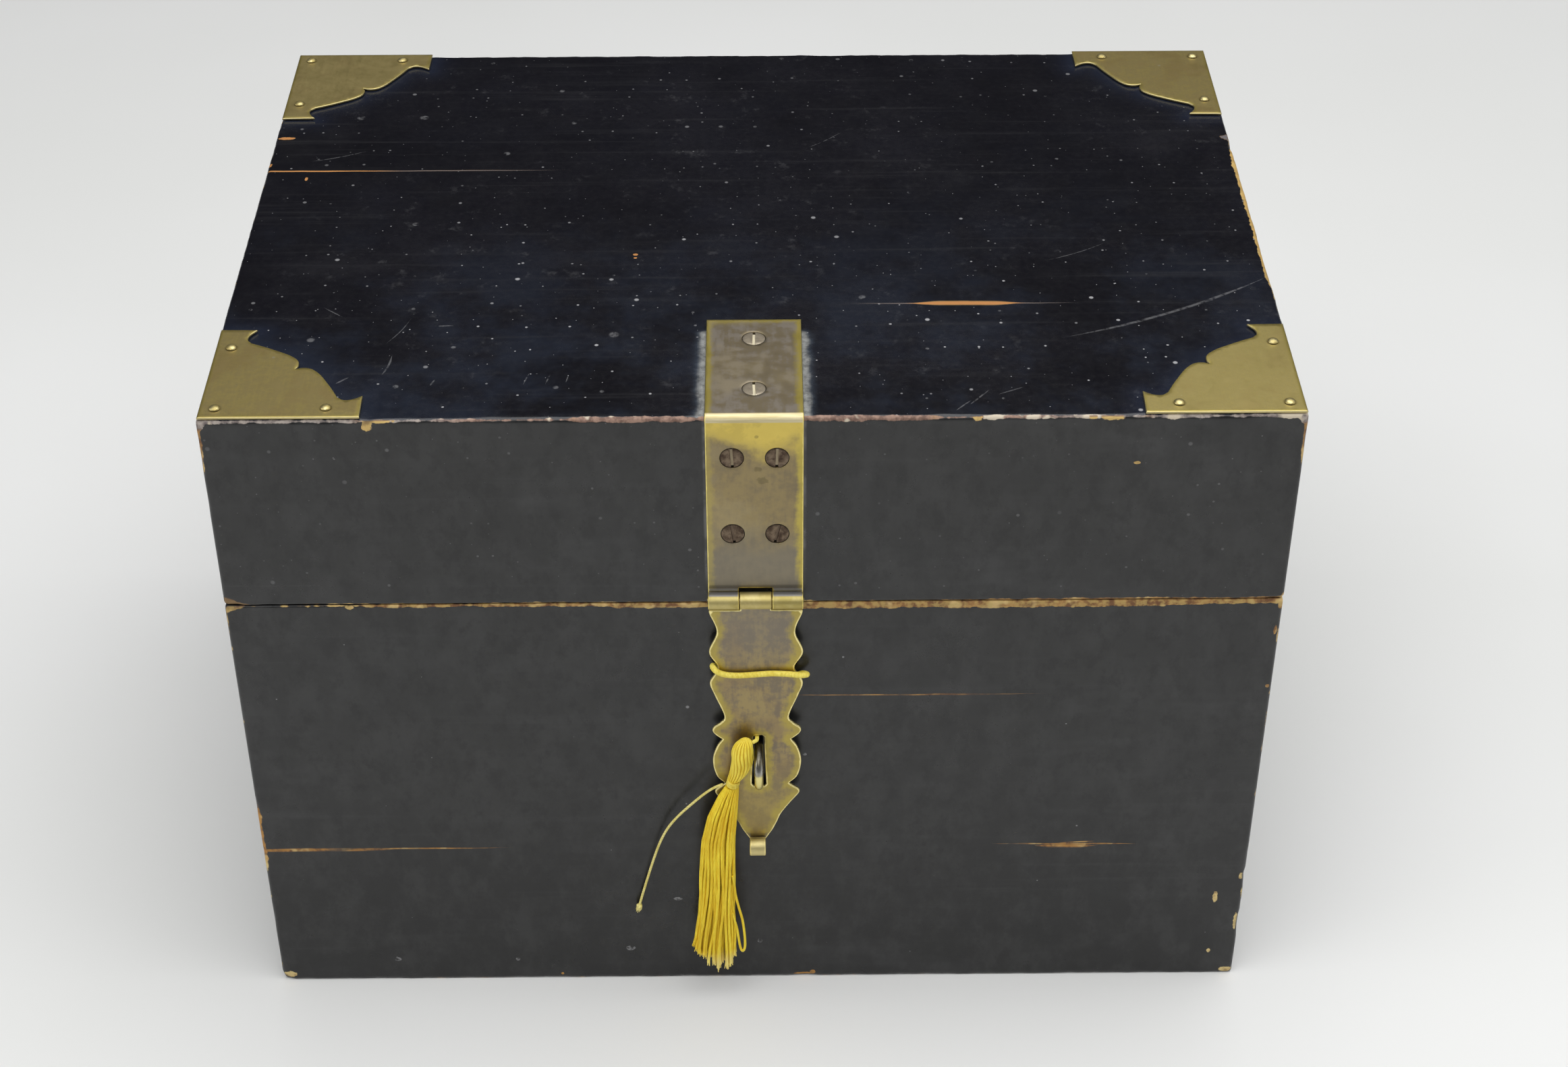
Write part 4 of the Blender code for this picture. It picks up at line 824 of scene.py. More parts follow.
def sheet_metal(name, outer, holes, thickness, rim, place, material, spacing, rows=(), bright_holes=True,
                hole_rim=None):
    """A plate cut to a flat outline, with rounded rims, bent by place(x, s, t) in the row frame.

    t runs from 0 on the back to the thickness on the face. rows are extra levels of s for bends.
    """
    loops = []
    for points, turn in [(outer, 1)] + [(hole, -1) for hole in holes]:
        loop = split_loop(points, 0.0006)
        loops.append(loop if signed_area(loop) * turn > 0 else loop[::-1])
    rims = [rim] + [hole_rim or rim] * len(holes)
    tops = [offset_loop(loop, r) for loop, r in zip(loops, rims)]
    low, high = tops[0].min(0), tops[0].max(0)
    xs = np.arange(low[0] + spacing / 2, high[0], spacing)
    levels = np.unique([*np.arange(low[1] + spacing / 2, high[1], spacing), *rows])
    grid = np.array([(x, s) for s in levels for x in xs])
    grid = grid[on_sheet(grid, tops) & (distance_to(grid, tops) > 0.0004)]
    points, triangles, new_number = triangulate(tops, grid)
    count = len(points)
    verts = [place(x, s, t) for t in (thickness, 0.0) for x, s in points]
    edge = [*distance_to(points, loops if bright_holes else loops[:1])] * 2
    run = [*points[:, 1]] * 2
    faces = triangles + [tuple(count + i for i in reversed(t)) for t in triangles]
    first = 0
    for loop, r in zip(loops, rims):
        size = len(loop)
        rings = [[new_number[first + i] for i in range(size)]]
        bevel = 0.30 * r
        for inset, t in ((bevel, thickness - bevel), (0.0, thickness - r), (0.0, r), (bevel, bevel)):
            ring = offset_loop(loop, inset) if inset else loop
            rings.append(range(len(verts), len(verts) + size))
            verts.extend(place(x, s, t) for x, s in ring)
            edge.extend([inset if bright_holes or loop is loops[0] else 0.003] * size)
            run.extend(ring[:, 1])
        rings.append([count + i for i in rings[0]])
        for upper, lower in zip(rings, rings[1:]):
            faces.extend(band(upper, lower))
        first += size
    obj = build(name, verts, faces, material, 55.0)
    set_layer(obj, "edge_mm", np.array(edge) / MM)
    set_layer(obj, "run_mm", np.array(run) / MM)
    return obj


def lathe(name, profile, segments, place, material, closed=False):
    """Turn (radius, height) about local +Z. A closed profile is a ring's section and has no ends."""
    verts, rings, faces = [], [], []
    for radius, height in profile:
        count = segments if radius > 0 else 1
        rings.append(range(len(verts), len(verts) + count))
        turns = [2 * math.pi * i / segments for i in range(count)]
        verts.extend(place @ Vector((radius * math.cos(a), radius * math.sin(a), height)) for a in turns)
    for upper, lower in zip(rings, rings[1:] + rings[:1] * closed):
        faces.extend(band(upper, lower))
    if not closed:
        faces.extend(tuple(ring) for ring in (rings[0], rings[-1]) if len(ring) > 1)
    return build(name, verts, faces, material)


def tube(verts, faces, uvs, points, radii, sides):
    """Add a capped tube along points to the lists, with UVs (metres along, share around)."""
    pts = [Vector(p) for p in points]
    if isinstance(radii, float):
        radii = [radii] * len(pts)
    up, run, rings = Vector((0.0, -1.0, 0.0)), 0.0, []
    for i, p in enumerate(pts):
        ahead = pts[min(i + 1, len(pts) - 1)] - pts[max(i - 1, 0)]
        ahead.normalize()
        side = ahead.cross(up)
        if side.length < 1e-4:
            side = ahead.cross(Vector((1.0, 0.0, 0.0)))
        side.normalize()
        up = side.cross(ahead).normalized()
        if i:
            run += (p - pts[i - 1]).length
        rings.append(range(len(verts), len(verts) + sides))
        for j in range(sides):
            a = 2 * math.pi * j / sides
            verts.append(p + (side * math.cos(a) + up * math.sin(a)) * radii[i])
            uvs.append((run, j / sides))
    for upper, lower in zip(rings, rings[1:]):
        faces.extend(band(upper, lower))
    faces.extend((tuple(rings[0]), tuple(reversed(rings[-1]))))


def tube_object(name, runs, sides, material):
    """One object of capped tubes. Each run is (points, radius or radii)."""
    verts, faces, uvs = [], [], []
    for points, radii in runs:
        tube(verts, faces, uvs, points, radii, sides)
    obj = build(name, verts, faces, material, 70.0)
    layer = obj.data.uv_layers.new(name="UVMap")
    for polygon in obj.data.polygons:
        values = [uvs[v] for v in polygon.vertices]
        wraps = max(v for _, v in values) - min(v for _, v in values) > 0.5
        for loop, (u, v) in zip(polygon.loop_indices, values):
            layer.data[loop].uv = (u, v + 1.0 if wraps and v < 0.5 else v)
    return obj


def levels_along(low, high, step, fine):
    """Grid levels from low to high: a given fine run at both ends and an even step between."""
    near, far = [low + f for f in fine], [high - f for f in reversed(fine)]
    count = max(1, round((far[0] - near[-1]) / step))
    return np.r_[near, np.linspace(near[-1], far[0], count + 1)[1:-1], far]


def wobble(p, scale, seed):
    """Smooth noise between -1 and 1 from a few sine waves, the same on every run."""
    x, y, z = (p * scale + seed).T
    return (np.sin(x * 1.7 + 1.3 * np.sin(y * 2.3 + z)) + np.sin(y * 2.1 + 1.7 * np.sin(z * 1.9 + x * 0.7))
            + np.sin(z * 2.6 + 1.1 * np.sin(x * 3.1))) / 3


def box_grid(axes, rim_inset, open_top):
    """Points and quads on a box's sides, open at its top or bottom but for a rim."""
    sizes = [len(a) for a in axes]
    numbers, faces = {}, []
    middles = [(a[1:] + a[:-1]) / 2 for a in axes]
    for axis in range(3):
        u, v = [d for d in range(3) if d != axis]
        for side in (0, sizes[axis] - 1):
            is_open = axis == 2 and (side > 0) == open_top
            for i in range(sizes[u] - 1):
                for j in range(sizes[v] - 1):
                    if (is_open and abs(middles[u][i]) < WIDTH / 2 - rim_inset
                            and abs(middles[v][j]) < DEPTH / 2 - rim_inset):
                        continue
                    corners = []
                    for a, b in ((i, j), (i + 1, j), (i + 1, j + 1), (i, j + 1)):
                        at = [0, 0, 0]
                        at[axis], at[u], at[v] = side, a, b
                        corners.append(numbers.setdefault(tuple(at), len(numbers)))
                    faces.append(corners)
    return np.array([[axes[d][n] for d, n in enumerate(at)] for at in numbers]), faces


def worn_surface(p, lows, highs, radii, chips):
    """A box's points drawn in to uneven rounded arrises, with chips and faint ripples."""
    base = np.where(p[:, 2] > (lows[2] + highs[2]) / 2, radii[1], radii[0])
    radius = base * (1.0 + 0.30 * wobble(p, 130.0, 1.0) + 0.22 * wobble(p, 420.0, 5.0))
    upright = (np.abs(p[:, 0]) > WIDTH / 2 - 0.006) & (np.abs(p[:, 1]) > DEPTH / 2 - 0.006)
    radius = np.where(upright, np.maximum(radius, 0.0014), radius)[:, None]
    held = np.clip(p, lows + radius, highs - radius)
    away = p - held
    outwards = away / np.linalg.norm(away, axis=1)[:, None]
    moved = held + outwards * radius
    for centre, size, depth in chips:
        far = np.linalg.norm((p - np.array(centre)) / np.array(size), axis=1)
        moved -= outwards * (depth * np.clip(1.0 - far ** 2, 0.0, 1.0))[:, None]
    flat = np.sum(np.abs(away) > 1e-9, axis=1) <= 1
    return moved - outwards * (flat * np.abs(0.00006 * wobble(p, 34.0, 3.0)))[:, None]


def shell(name, z_low, z_high, open_top, inner, material, radii, chips):
    """A hollow wooden shell: a box with softened, uneven arrises and a rim round its opening.

    inner lists (inset, z) of the rim's steps down to the hollow's far end. radii are the lower and the
    upper arrises'. A chip is its centre, its three radii and its depth.
    """
    fine = (0.0, 0.0004, 0.0009, 0.0015, 0.0022, 0.0032, 0.0046)
    lows, highs = np.array((-WIDTH / 2, -DEPTH / 2, z_low)), np.array((WIDTH / 2, DEPTH / 2, z_high))
    steps = (0.0020, 0.0028, 0.0035)
    axes = [levels_along(low, high, step, fine) for low, high, step in zip(lows, highs, steps)]
    points, faces = box_grid(axes, inner[0][0], open_top)
    bm = bmesh.new()
    for point in worn_surface(points, lows, highs, radii, chips):
        bm.verts.new(point)
    bm.verts.ensure_lookup_table()
    for face in faces:
        bm.faces.new([bm.verts[i] for i in face])
    for inset, z in inner:
        rim = [e for e in bm.edges if e.is_boundary]
        grown = bmesh.ops.extrude_edge_only(bm, edges=rim)["geom"]
        for v in (g for g in grown if isinstance(g, bmesh.types.BMVert)):
            v.co.x = max(-WIDTH / 2 + inset, min(WIDTH / 2 - inset, v.co.x))
            v.co.y = max(-DEPTH / 2 + inset, min(DEPTH / 2 - inset, v.co.y))
            v.co.z = z
    bmesh.ops.holes_fill(bm, edges=[e for e in bm.edges if e.is_boundary], sides=0)
    bmesh.ops.remove_doubles(bm, verts=bm.verts[len(points):], dist=1e-6)
    return mesh_object(name, bm, material, 50.0)


# The box

def plate_outline():
    half = edge_curve(PLATE_EDGE, 8)
    points = [(0.0, 0.0), (1.0, 0.0)] + half + [(b, a) for a, b in reversed(half[:-1])] + [(0.0, 1.0)]
    return [(PLATE_SIZE * a, PLATE_SIZE * b) for a, b in points]


def near_layers(lid):
    """Store how near each point of the lid's top is to the corner plates."""
    co = np.empty(len(lid.data.vertices) * 3)
    lid.data.vertices.foreach_get("co", co)
    co = co.reshape(-1, 3)
    folded = np.array((WIDTH / 2, DEPTH / 2)) - PLATE_INSET - np.abs(co[:, :2])
    close = (folded < PLATE_SIZE + 0.02).all(1) & (co[:, 2] > HEIGHT - 0.004)
    near = np.zeros(len(co))
    near[close] = np.exp(-(distance_to(folded[close], [split_loop(plate_outline(), 0.002)]) / 0.0045) ** 1.3)
    set_layer(lid, "near_plate", near)


def make_shells():
    lid_chips = [((-0.1214, FRONT, 0.2490), (0.0022, 0.0030, 0.0030), 0.0005),
                 ((-0.1712, 0.059, HEIGHT), (0.003, 0.0014, 0.003), 0.0003),
                 ((0.1750, 0.050, HEIGHT), (0.003, 0.003, 0.003), 0.0005),
                 ((0.1750, -0.030, HEIGHT), (0.003, 0.010, 0.003), 0.0003)]
    body_chips = [((-0.175, FRONT, 0.0), (0.004, 0.004, 0.004), 0.0008),
                  ((0.175, FRONT, 0.049), (0.003, 0.003, 0.004), 0.0006),
                  ((0.175, FRONT, 0.026), (0.003, 0.003, 0.007), 0.0005),
                  ((-0.134, FRONT, SEAM), (0.0024, 0.002, 0.0020), 0.0005),
                  ((0.0165, FRONT, 0.0), (0.006, 0.003, 0.0020), 0.0004)]
    lid_low, lip_top = SEAM + SEAM_GAP, SEAM + LIP_HEIGHT
    rebate, rebate_top = LIP_INSET - LIP_CLEARANCE, lip_top + LIP_CLEARANCE
    lid_inner = [(rebate, lid_low), (rebate, rebate_top), (WALL, rebate_top), (WALL, HEIGHT - TOP_THICKNESS)]
    body_inner = [(LIP_INSET, SEAM), (LIP_INSET, lip_top), (WALL, lip_top), (WALL, FLOOR_THICKNESS)]
    lid = shell("lid", lid_low, HEIGHT, False, lid_inner, lacquer_material("lid_lacquer", True),
                (0.00075, 0.0015), lid_chips)
    near_layers(lid)
    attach(lid, "box")
    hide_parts("lid_top", "lid_front", "lid_back", "lid_left", "lid_right")
    body = shell("body", 0.0, SEAM, True, body_inner, lacquer_material("body_lacquer", False),
                 (0.0013, 0.00075), body_chips)
    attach(body, "box")
    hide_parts("body_bottom", "body_front", "body_back", "body_left", "body_right")


def corner_places():
    """Each corner's name and the transform that takes a front-left corner there."""
    x, y = WIDTH / 2 - PLATE_INSET, DEPTH / 2 - PLATE_INSET
    corners = (("front_left", -x, -y, 0), ("front_right", x, -y, 90),
               ("back_right", x, y, 180), ("back_left", -x, y, 270))
    return [(name, Matrix.Translation((cx, cy, 0)) @ Matrix.Rotation(math.radians(turn), 4, "Z"))
            for name, cx, cy, turn in corners]


def make_plates():
    brass = plate_material()
    nail_metal = plain_metal("nail_brass", (0.42, 0.34, 0.13), (0.70, 0.61, 0.31), 0.44, 500.0)
    turns = [math.radians(d) for d in range(10, 91, 10)]
    dome = [(0.0, 0.0011), *((NAIL_RADIUS * math.sin(a), 0.0002 + 0.0009 * math.cos(a)) for a in turns),
            (0.0007, 0.0001), (0.0007, -NAIL_SHANK)]
    near, far = NAIL_NEAR - PLATE_INSET, NAIL_FAR - PLATE_INSET
    for corner, turn in corner_places():
        def place(x, s, t, turn=turn):
            return turn @ Vector((x, s, PLATE_BOTTOM + t))
        plate = sheet_metal(f"plate_{corner}", plate_outline(), [], PLATE_THICKNESS, 0.00025, place, brass,
                            0.0016)
        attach(plate, "box")
        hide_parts(f"corner_plate_{corner}")
        for spot, x, y in (("corner", near, near), ("along", far, near), ("across", near, far)):
            at = turn @ Matrix.Translation((x, y, PLATE_BOTTOM + PLATE_THICKNESS))
            nail = lathe(f"nailhead_{corner}_{spot}", dome, 28, at, nail_metal)
            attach(nail, "box")
            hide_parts(f"nail_{corner}_{spot}")


# The hasp

def strap_place(x, s, t):
    """Where a point of the flat strap goes: along the top, over the bend, down, round the pin."""
    if s < BEND_START:
        off, z = s - STRAP_TOP_LENGTH, STRAP_TOP - STRAP_THICKNESS + t
    elif s < BEND_END:
        a, r = (s - BEND_START) / BEND_RADIUS, BEND_RADIUS - STRAP_THICKNESS + t
        off, z = STRAP_FACE - BEND_RADIUS + r * math.sin(a), STRAP_TOP - BEND_RADIUS + r * math.cos(a)
    elif s < STRAP_ROLL_START:
        off, z = STRAP_BACK + t, STRAP_TOP - BEND_RADIUS - (s - BEND_END)
    else:
        a, r = math.pi + (s - STRAP_ROLL_START) / BARREL_RADIUS, BARREL_RADIUS - t
        off, z = HINGE_OFF + r * math.cos(a), HINGE_Z + r * math.sin(a)
    return Vector((HASP_X + x, FRONT - off, z))


def strap_s(z):
    """How far along the flat strap a height on its front lies."""
    return BEND_END + (STRAP_TOP - BEND_RADIUS) - z


def make_strap():
    half, notch = HASP_WIDTH / 2, MIDDLE_KNUCKLE / 2 + KNUCKLE_GAP
    end = STRAP_ROLL_START + BARREL_RADIUS * BARREL_TURN
    notch_s = strap_s(HINGE_Z + BARREL_RADIUS + NOTCH_RISE)
    outline = [(-half, 0.0), (half, 0.0), (half, end), (notch, end), (notch, notch_s), (-notch, notch_s),
               (-notch, end), (-half, end)]
    screws = [(0.0, STRAP_TOP_LENGTH - back) for back in TOP_SCREW_SETBACKS]
    for z in (UPPER_SCREW_Z, LOWER_SCREW_Z):
        screws += [(side * SCREW_SPACING / 2, strap_s(z)) for side in (-1, 1)]
    holes = [circle(centre, SCREW_RADIUS + SCREW_GAP) for centre in screws]
    rows = [*np.linspace(BEND_START - 0.0004, BEND_END + 0.0004, 14),
            *np.arange(STRAP_ROLL_START - 0.0005, end, 0.00045)]
    strap = sheet_metal("strap", outline, holes, STRAP_THICKNESS, 0.00022, strap_place, strap_material(),
                        0.0014, rows, bright_holes=False, hole_rim=0.00008)
    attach(strap, "box")
    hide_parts("hasp_strap")


def screw_places():
    """Each screw's name and the transform that takes its head's top there."""
    places = []
    for row, z in (("upper", UPPER_SCREW_Z), ("lower", LOWER_SCREW_Z)):
        for side, sign in (("left", -1), ("right", 1)):
            at = Vector((HASP_X + sign * SCREW_SPACING / 2, FRONT - STRAP_FACE, z))
            places.append((f"{row}_{side}", Matrix.Translation(at) @ Matrix.Rotation(math.pi / 2, 4, "X")))
    for row, back in zip(("front", "rear"), TOP_SCREW_SETBACKS):
        places.append((f"top_{row}", Matrix.Translation((HASP_X, FRONT + back, STRAP_TOP))))
    return places


def screw_mesh(name, place, slot_angle, material):
    """A countersunk head, faintly crowned, with a worn slot, on its shank."""
    r = SCREW_RADIUS
    turn = place @ Matrix.Rotation(slot_angle, 4, "Z")
    profile = [(0.0, SHANK_END), (SHANK_RADIUS, -0.0066), (SHANK_RADIUS, -0.0022), (r - 0.0003, -0.0003),
               (r, -0.0001), (r - 0.0002, 0.00002), (r * 0.75, 0.00008), (r * 0.45, 0.00011),
               (r * 0.2, 0.00012), (0.0, 0.00012)]
    screw = lathe(name, profile, 48, turn, material)
    bm = bmesh.new()
    middle = Matrix.Translation((0, 0, 0.0005 - SCREW_SLOT_DEPTH / 2))
    size = Matrix.Diagonal((2 * SCREW_SLOT_HALF, 0.02, 0.001 + SCREW_SLOT_DEPTH, 1.0))
    bmesh.ops.create_cube(bm, size=1.0, matrix=turn @ middle @ size)
    tool_mesh = bpy.data.meshes.new(name + "_tool")
    bm.to_mesh(tool_mesh)
    bm.free()
    tool = add_object(name + "_tool", tool_mesh)
    cut = screw.modifiers.new("slot", "BOOLEAN")
    cut.operation, cut.object = "DIFFERENCE", tool
    bpy.context.view_layer.update()
    mesh = bpy.data.meshes.new_from_object(screw.evaluated_get(bpy.context.evaluated_depsgraph_get()))
    screw.modifiers.clear()
    screw.data = mesh
    soften_shading(mesh, 35.0)
    bpy.data.objects.remove(tool, do_unlink=True)
    local = [turn.inverted() @ v.co for v in mesh.vertices]
    in_slot = [abs(v.x) < SCREW_SLOT_HALF * 1.1 and abs(v.y) < r and -0.0009 < v.z < -0.0001 for v in local]
    set_layer(screw, "in_slot", in_slot)
    return screw


def make_screws():
    brown = ((0.075, 0.050, 0.036), (0.20, 0.150, 0.105), 0.46, 420.0)
    pale = ((0.29, 0.25, 0.19), (0.38, 0.33, 0.25), 0.58, 420.0)
    # The top screws' pale cream slots are a painted highlight.
    metals = {"upper": plain_metal("screw_brown", *brown, (0.34, 0.28, 0.19)),
              "top": plain_metal("screw_tarnish_slot_highlight", *pale, (0.86, 0.80, 0.62)),
              "lower": plain_metal("screw_worn", *brown, (0.15, 0.11, 0.08))}
    angles = {"upper_left": 0.06, "upper_right": -0.04, "lower_left": 0.16, "lower_right": -0.22,
              "top_front": 0.03, "top_rear": -0.02}
    for spot, place in screw_places():
        screw = screw_mesh(f"screw_{spot}", place, angles[spot], metals[spot.split("_")[0]])
        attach(screw, "box")
        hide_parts(f"strap_screw_{spot}")


def leaf_place(x, s, t):
    """Where a point of the flat leaf goes: s is its distance below the hinge's axis."""
    if s < LEAF_ROLL_START:
        off, z = LEAF_BACK + t, HINGE_Z - s
    else:
        a = math.pi + (s - LEAF_ROLL_START) / SCROLL_RADIUS
        r = SCROLL_RADIUS + LEAF_THICKNESS / 2 - t
        off = HINGE_OFF + SCROLL_RADIUS + r * math.cos(a)
        z = HINGE_Z - LEAF_ROLL_START + r * math.sin(a)
    return Vector((HASP_X + x, FRONT - off, z))


def make_leaf():
    edge = [(LEAF_HALF_WIDTH * w, LEAF_LENGTH * d) for w, d in edge_curve(LEAF_EDGE, 8)]
    neck, tongue = MIDDLE_KNUCKLE / 2, TONGUE_HALF_WIDTH
    end = LEAF_ROLL_START + SCROLL_RADIUS * math.radians(SCROLL_TURN)
    right = [(neck, 0.0018), (neck, edge[0][1])] + edge + [(tongue, edge[-1][1] + 0.0006), (tongue, end)]
    outline = right + [(-x, s) for x, s in reversed(right)]
    top, bottom, upper_cut, lower_cut = SLOT_TOP_WIDTH / 2, SLOT_BOTTOM_WIDTH / 2, 0.0006, 0.0007
    cx, start = SLOT_X - HASP_X, HINGE_Z - SLOT_TOP
    foot = start + SLOT_LENGTH
    slot = [(cx - top + upper_cut, start), (cx + top - upper_cut, start), (cx + top, start + upper_cut),
            (cx + bottom, foot - lower_cut), (cx + bottom - lower_cut, foot), (cx - bottom + lower_cut, foot),
            (cx - bottom, foot - lower_cut), (cx - top, start + upper_cut)]
    brass = leaf_material()
    leaf = sheet_metal("leaf", outline, [slot], LEAF_THICKNESS, 0.00034, leaf_place, brass, 0.0014,
                       np.arange(LEAF_ROLL_START - 0.0005, end, 0.0004))
    outer, shy, width = BARREL_RADIUS, BARREL_RADIUS - KNUCKLE_ROUND, MIDDLE_KNUCKLE
    section = [(PIN_HOLE_RADIUS, 0.0), (shy, 0.0), (outer, KNUCKLE_ROUND), (outer, width - KNUCKLE_ROUND),
               (shy, width), (PIN_HOLE_RADIUS, width)]
    end_face = Matrix.Translation((HASP_X - width / 2, FRONT - HINGE_OFF, HINGE_Z))
    axis = end_face @ Matrix.Rotation(math.pi / 2, 4, "Y")
    knuckle = lathe("leaf_knuckle", section, 48, axis, brass, closed=True)
    set_layer(knuckle, "edge_mm", [1.2] * len(knuckle.data.vertices))
    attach(leaf, "hasp")
    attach(knuckle, "hasp")
    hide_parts("hasp_leaf")


def make_staple():
    z_top = SLOT_TOP - STAPLE_INSET - STAPLE_WIRE
    z_bottom = SLOT_TOP - SLOT_LENGTH + STAPLE_INSET + STAPLE_WIRE
    middle, bend = (z_top + z_bottom) / 2, (z_top - z_bottom) / 2
    straight = STAPLE_REACH - STAPLE_WIRE - bend
    turns = [math.pi / 2 - math.pi * i / 28 for i in range(29)]
    arc = [(SLOT_X, FRONT - straight - bend * math.cos(a), middle + bend * math.sin(a)) for a in turns]
    legs = [[(SLOT_X, FRONT + depth, z) for depth in (STAPLE_ROOT, 0.0001)] for z in (z_top, z_bottom)]
    staple = tube_object("staple_loop", [(legs[0] + arc + legs[1][::-1], STAPLE_WIRE)], 28, staple_material())
    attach(staple, "box")
    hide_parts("staple")


def dress_pin():
    metal = plain_metal("pin_brass", (0.16, 0.13, 0.07), (0.34, 0.28, 0.13), 0.40)
    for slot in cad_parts["hinge_pin"].material_slots:
        slot.material = metal


# The cords and the tassel

def smoothed(points):
    """The same points with each inner one drawn a little towards its neighbours' middle."""
    p = np.array(points)
    p[1:-1] = 0.5 * p[1:-1] + 0.25 * (p[:-2] + p[2:])
    return [tuple(q) for q in p]


def world_route(route):
    return [(SLOT_X + x, FRONT - off, SLOT_TOP + height) for x, off, height in route]


def make_knot(centre, ahead, material):
    """A small overhand knot, longer than wide, with a short frayed end."""
    turn = Matrix.Translation(centre) @ ahead.to_track_quat("Z", "Y").to_matrix().to_4x4()
    points = []
    for t in (2 * math.pi * i / 60 for i in range(61)):
        r = 0.00052 + 0.00014 * math.cos(3 * t)
        points.append(turn @ Vector((r * math.cos(2 * t), r * math.sin(2 * t), 0.00105 * math.sin(3 * t))))
    runs = [(points, 0.00052)]
    for a in (2 * math.pi * k / 5 for k in range(5)):
        tip = Vector((0.0006 * math.cos(a), 0.0006 * math.sin(a), 0.0024))
        runs.append(([turn @ Vector((0, 0, 0.0006)), turn @ (tip * 0.6), turn @ tip], 0.00013))
    return tube_object("tail_knot_silk", runs, 10, material)


def make_cords():
    """The hanging cord, which is held all along its route, and the tail thread with its knot, which hangs
    free.
    """
    silk = silk_material("silk_cord", 0.0024, (0.80, 0.62, 0.070), (0.98, 0.84, 0.170), 0.12)
    thread_silk = silk_material("silk_thread", 0.0014, (0.74, 0.62, 0.150), (0.92, 0.82, 0.320), 0.25)
    band_route = catmull(world_route(HANGING_CORD_ROUTE), 6)
    shares = np.linspace(0.0, 1.0, len(band_route))
    taper = np.interp(shares, (0.0, 0.12, 0.20, 1.0), (0.66, 0.72, 1.0, 1.0))
    widths = [CORD_RADIUS * float(share) for share in taper]
    hanging = tube_object("hanging_silk", [(band_route, widths)], 14, silk)
    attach(hanging, "hasp")
    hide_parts("hanging_cord")
    path = catmull(smoothed(world_route(TAIL_THREAD_ROUTE)), 5)
    tail = tube_object("tail_silk", [(path, THREAD_RADIUS)], 12, thread_silk)
    end, before = Vector(path[-1]), Vector(path[-2])
    ahead = (end - before).normalized()
    knot = make_knot(end + ahead * (KNOT_RADIUS + 0.0003), ahead, thread_silk)
    length = sum((Vector(b) - Vector(a)).length for a, b in zip(path, path[1:]))
    for piece in (tail, knot):
        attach(piece, "hasp")
    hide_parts("tail_thread")
    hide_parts("tail_knot")
    tuple(path[0])
    [tuple(p) for p in path]
    return silk


def make_head():
    """The tassel's head, ridged by its threads, with painted shade between them."""
    ridges, steps = 17, 8
    segments = ridges * steps
    rings, numbers = catmull(HEAD_RINGS, 5), []
    verts, faces, hollow = [], [], []
    for i, (x, off, z, r) in enumerate(rings):
        numbers.append(range(len(verts), len(verts) + segments))
        for j in range(segments):
            a = 2 * math.pi * j / segments + 0.9 * i / len(rings)
            groove = abs(math.sin(math.pi * j / steps)) ** 0.6
            # hollow: how deep a point lies in a groove between threads, for the painted shade there.
            hollow.append((1.0 - groove) ** 1.5)
            radius = r * (0.85 + 0.18 * groove) * (1.0 + 0.04 * math.sin(3 * a + 0.3 * i))
            verts.append(Vector((x + radius * math.cos(a), FRONT - off + 0.92 * radius * math.sin(a), z)))
    for upper, lower in zip(numbers, numbers[1:]):
        faces.extend(band(upper, lower))
    faces.extend((tuple(numbers[0]), tuple(reversed(numbers[-1]))))
    silk = silk_material("silk_head", 1.0, (0.86, 0.61, 0.026), (1.0, 0.83, 0.110), 0.0, hollow=True)
    head = build("tassel_bulb", verts, faces, silk, 75.0)
    set_layer(head, "hollow", hollow)
    return head


def make_tassel(silk):
    """A threaded head, a wound neck and a skirt of separate strands."""
    head = make_head()
    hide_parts("tassel_head")
    top, bottom = (Vector((x, FRONT - off, z)) for x, off, z in (NECK_TOP, NECK_BOTTOM))
    length = (top - bottom).length
    collar = Matrix.Translation(top) @ (top - bottom).to_track_quat("Z", "Y").to_matrix().to_4x4()
    turns, steps, margin = 4, 28, 0.0003
    winds = []
    for i in range(turns * steps + 1):
        a, height = 2 * math.pi * i / steps, margin + (length - 2 * margin) * i / (turns * steps)
        winds.append(collar @ Vector((0.00205 * math.cos(a), 0.00195 * math.sin(a), -height)))
    binding = tube_object("neck_binding", [(winds, 0.00038)], 8, silk)
    profile = [(0.0, 0.0), (0.0020, -0.0001), (0.0020, 0.0001 - length), (0.0, -length)]
    core = lathe("neck_core", profile, 20, collar, silk)
    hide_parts("tassel_binding")
    skirt = make_skirt(silk_material("silk_strand", 0.0040, (0.82, 0.55, 0.020), (1.0, 0.80, 0.055), 0.10,
                                     tips=0.0180))
    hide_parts("tassel_skirt")
    for piece in (head, binding, core, skirt):
        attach(piece, "hasp")


def skirt_at(z):
    """The skirt's section at a height: centre x, off, half width and half depth."""
    heights, *columns = zip(*reversed(SKIRT_RINGS))
    return [float(np.interp(z, heights, column)) for column in columns]


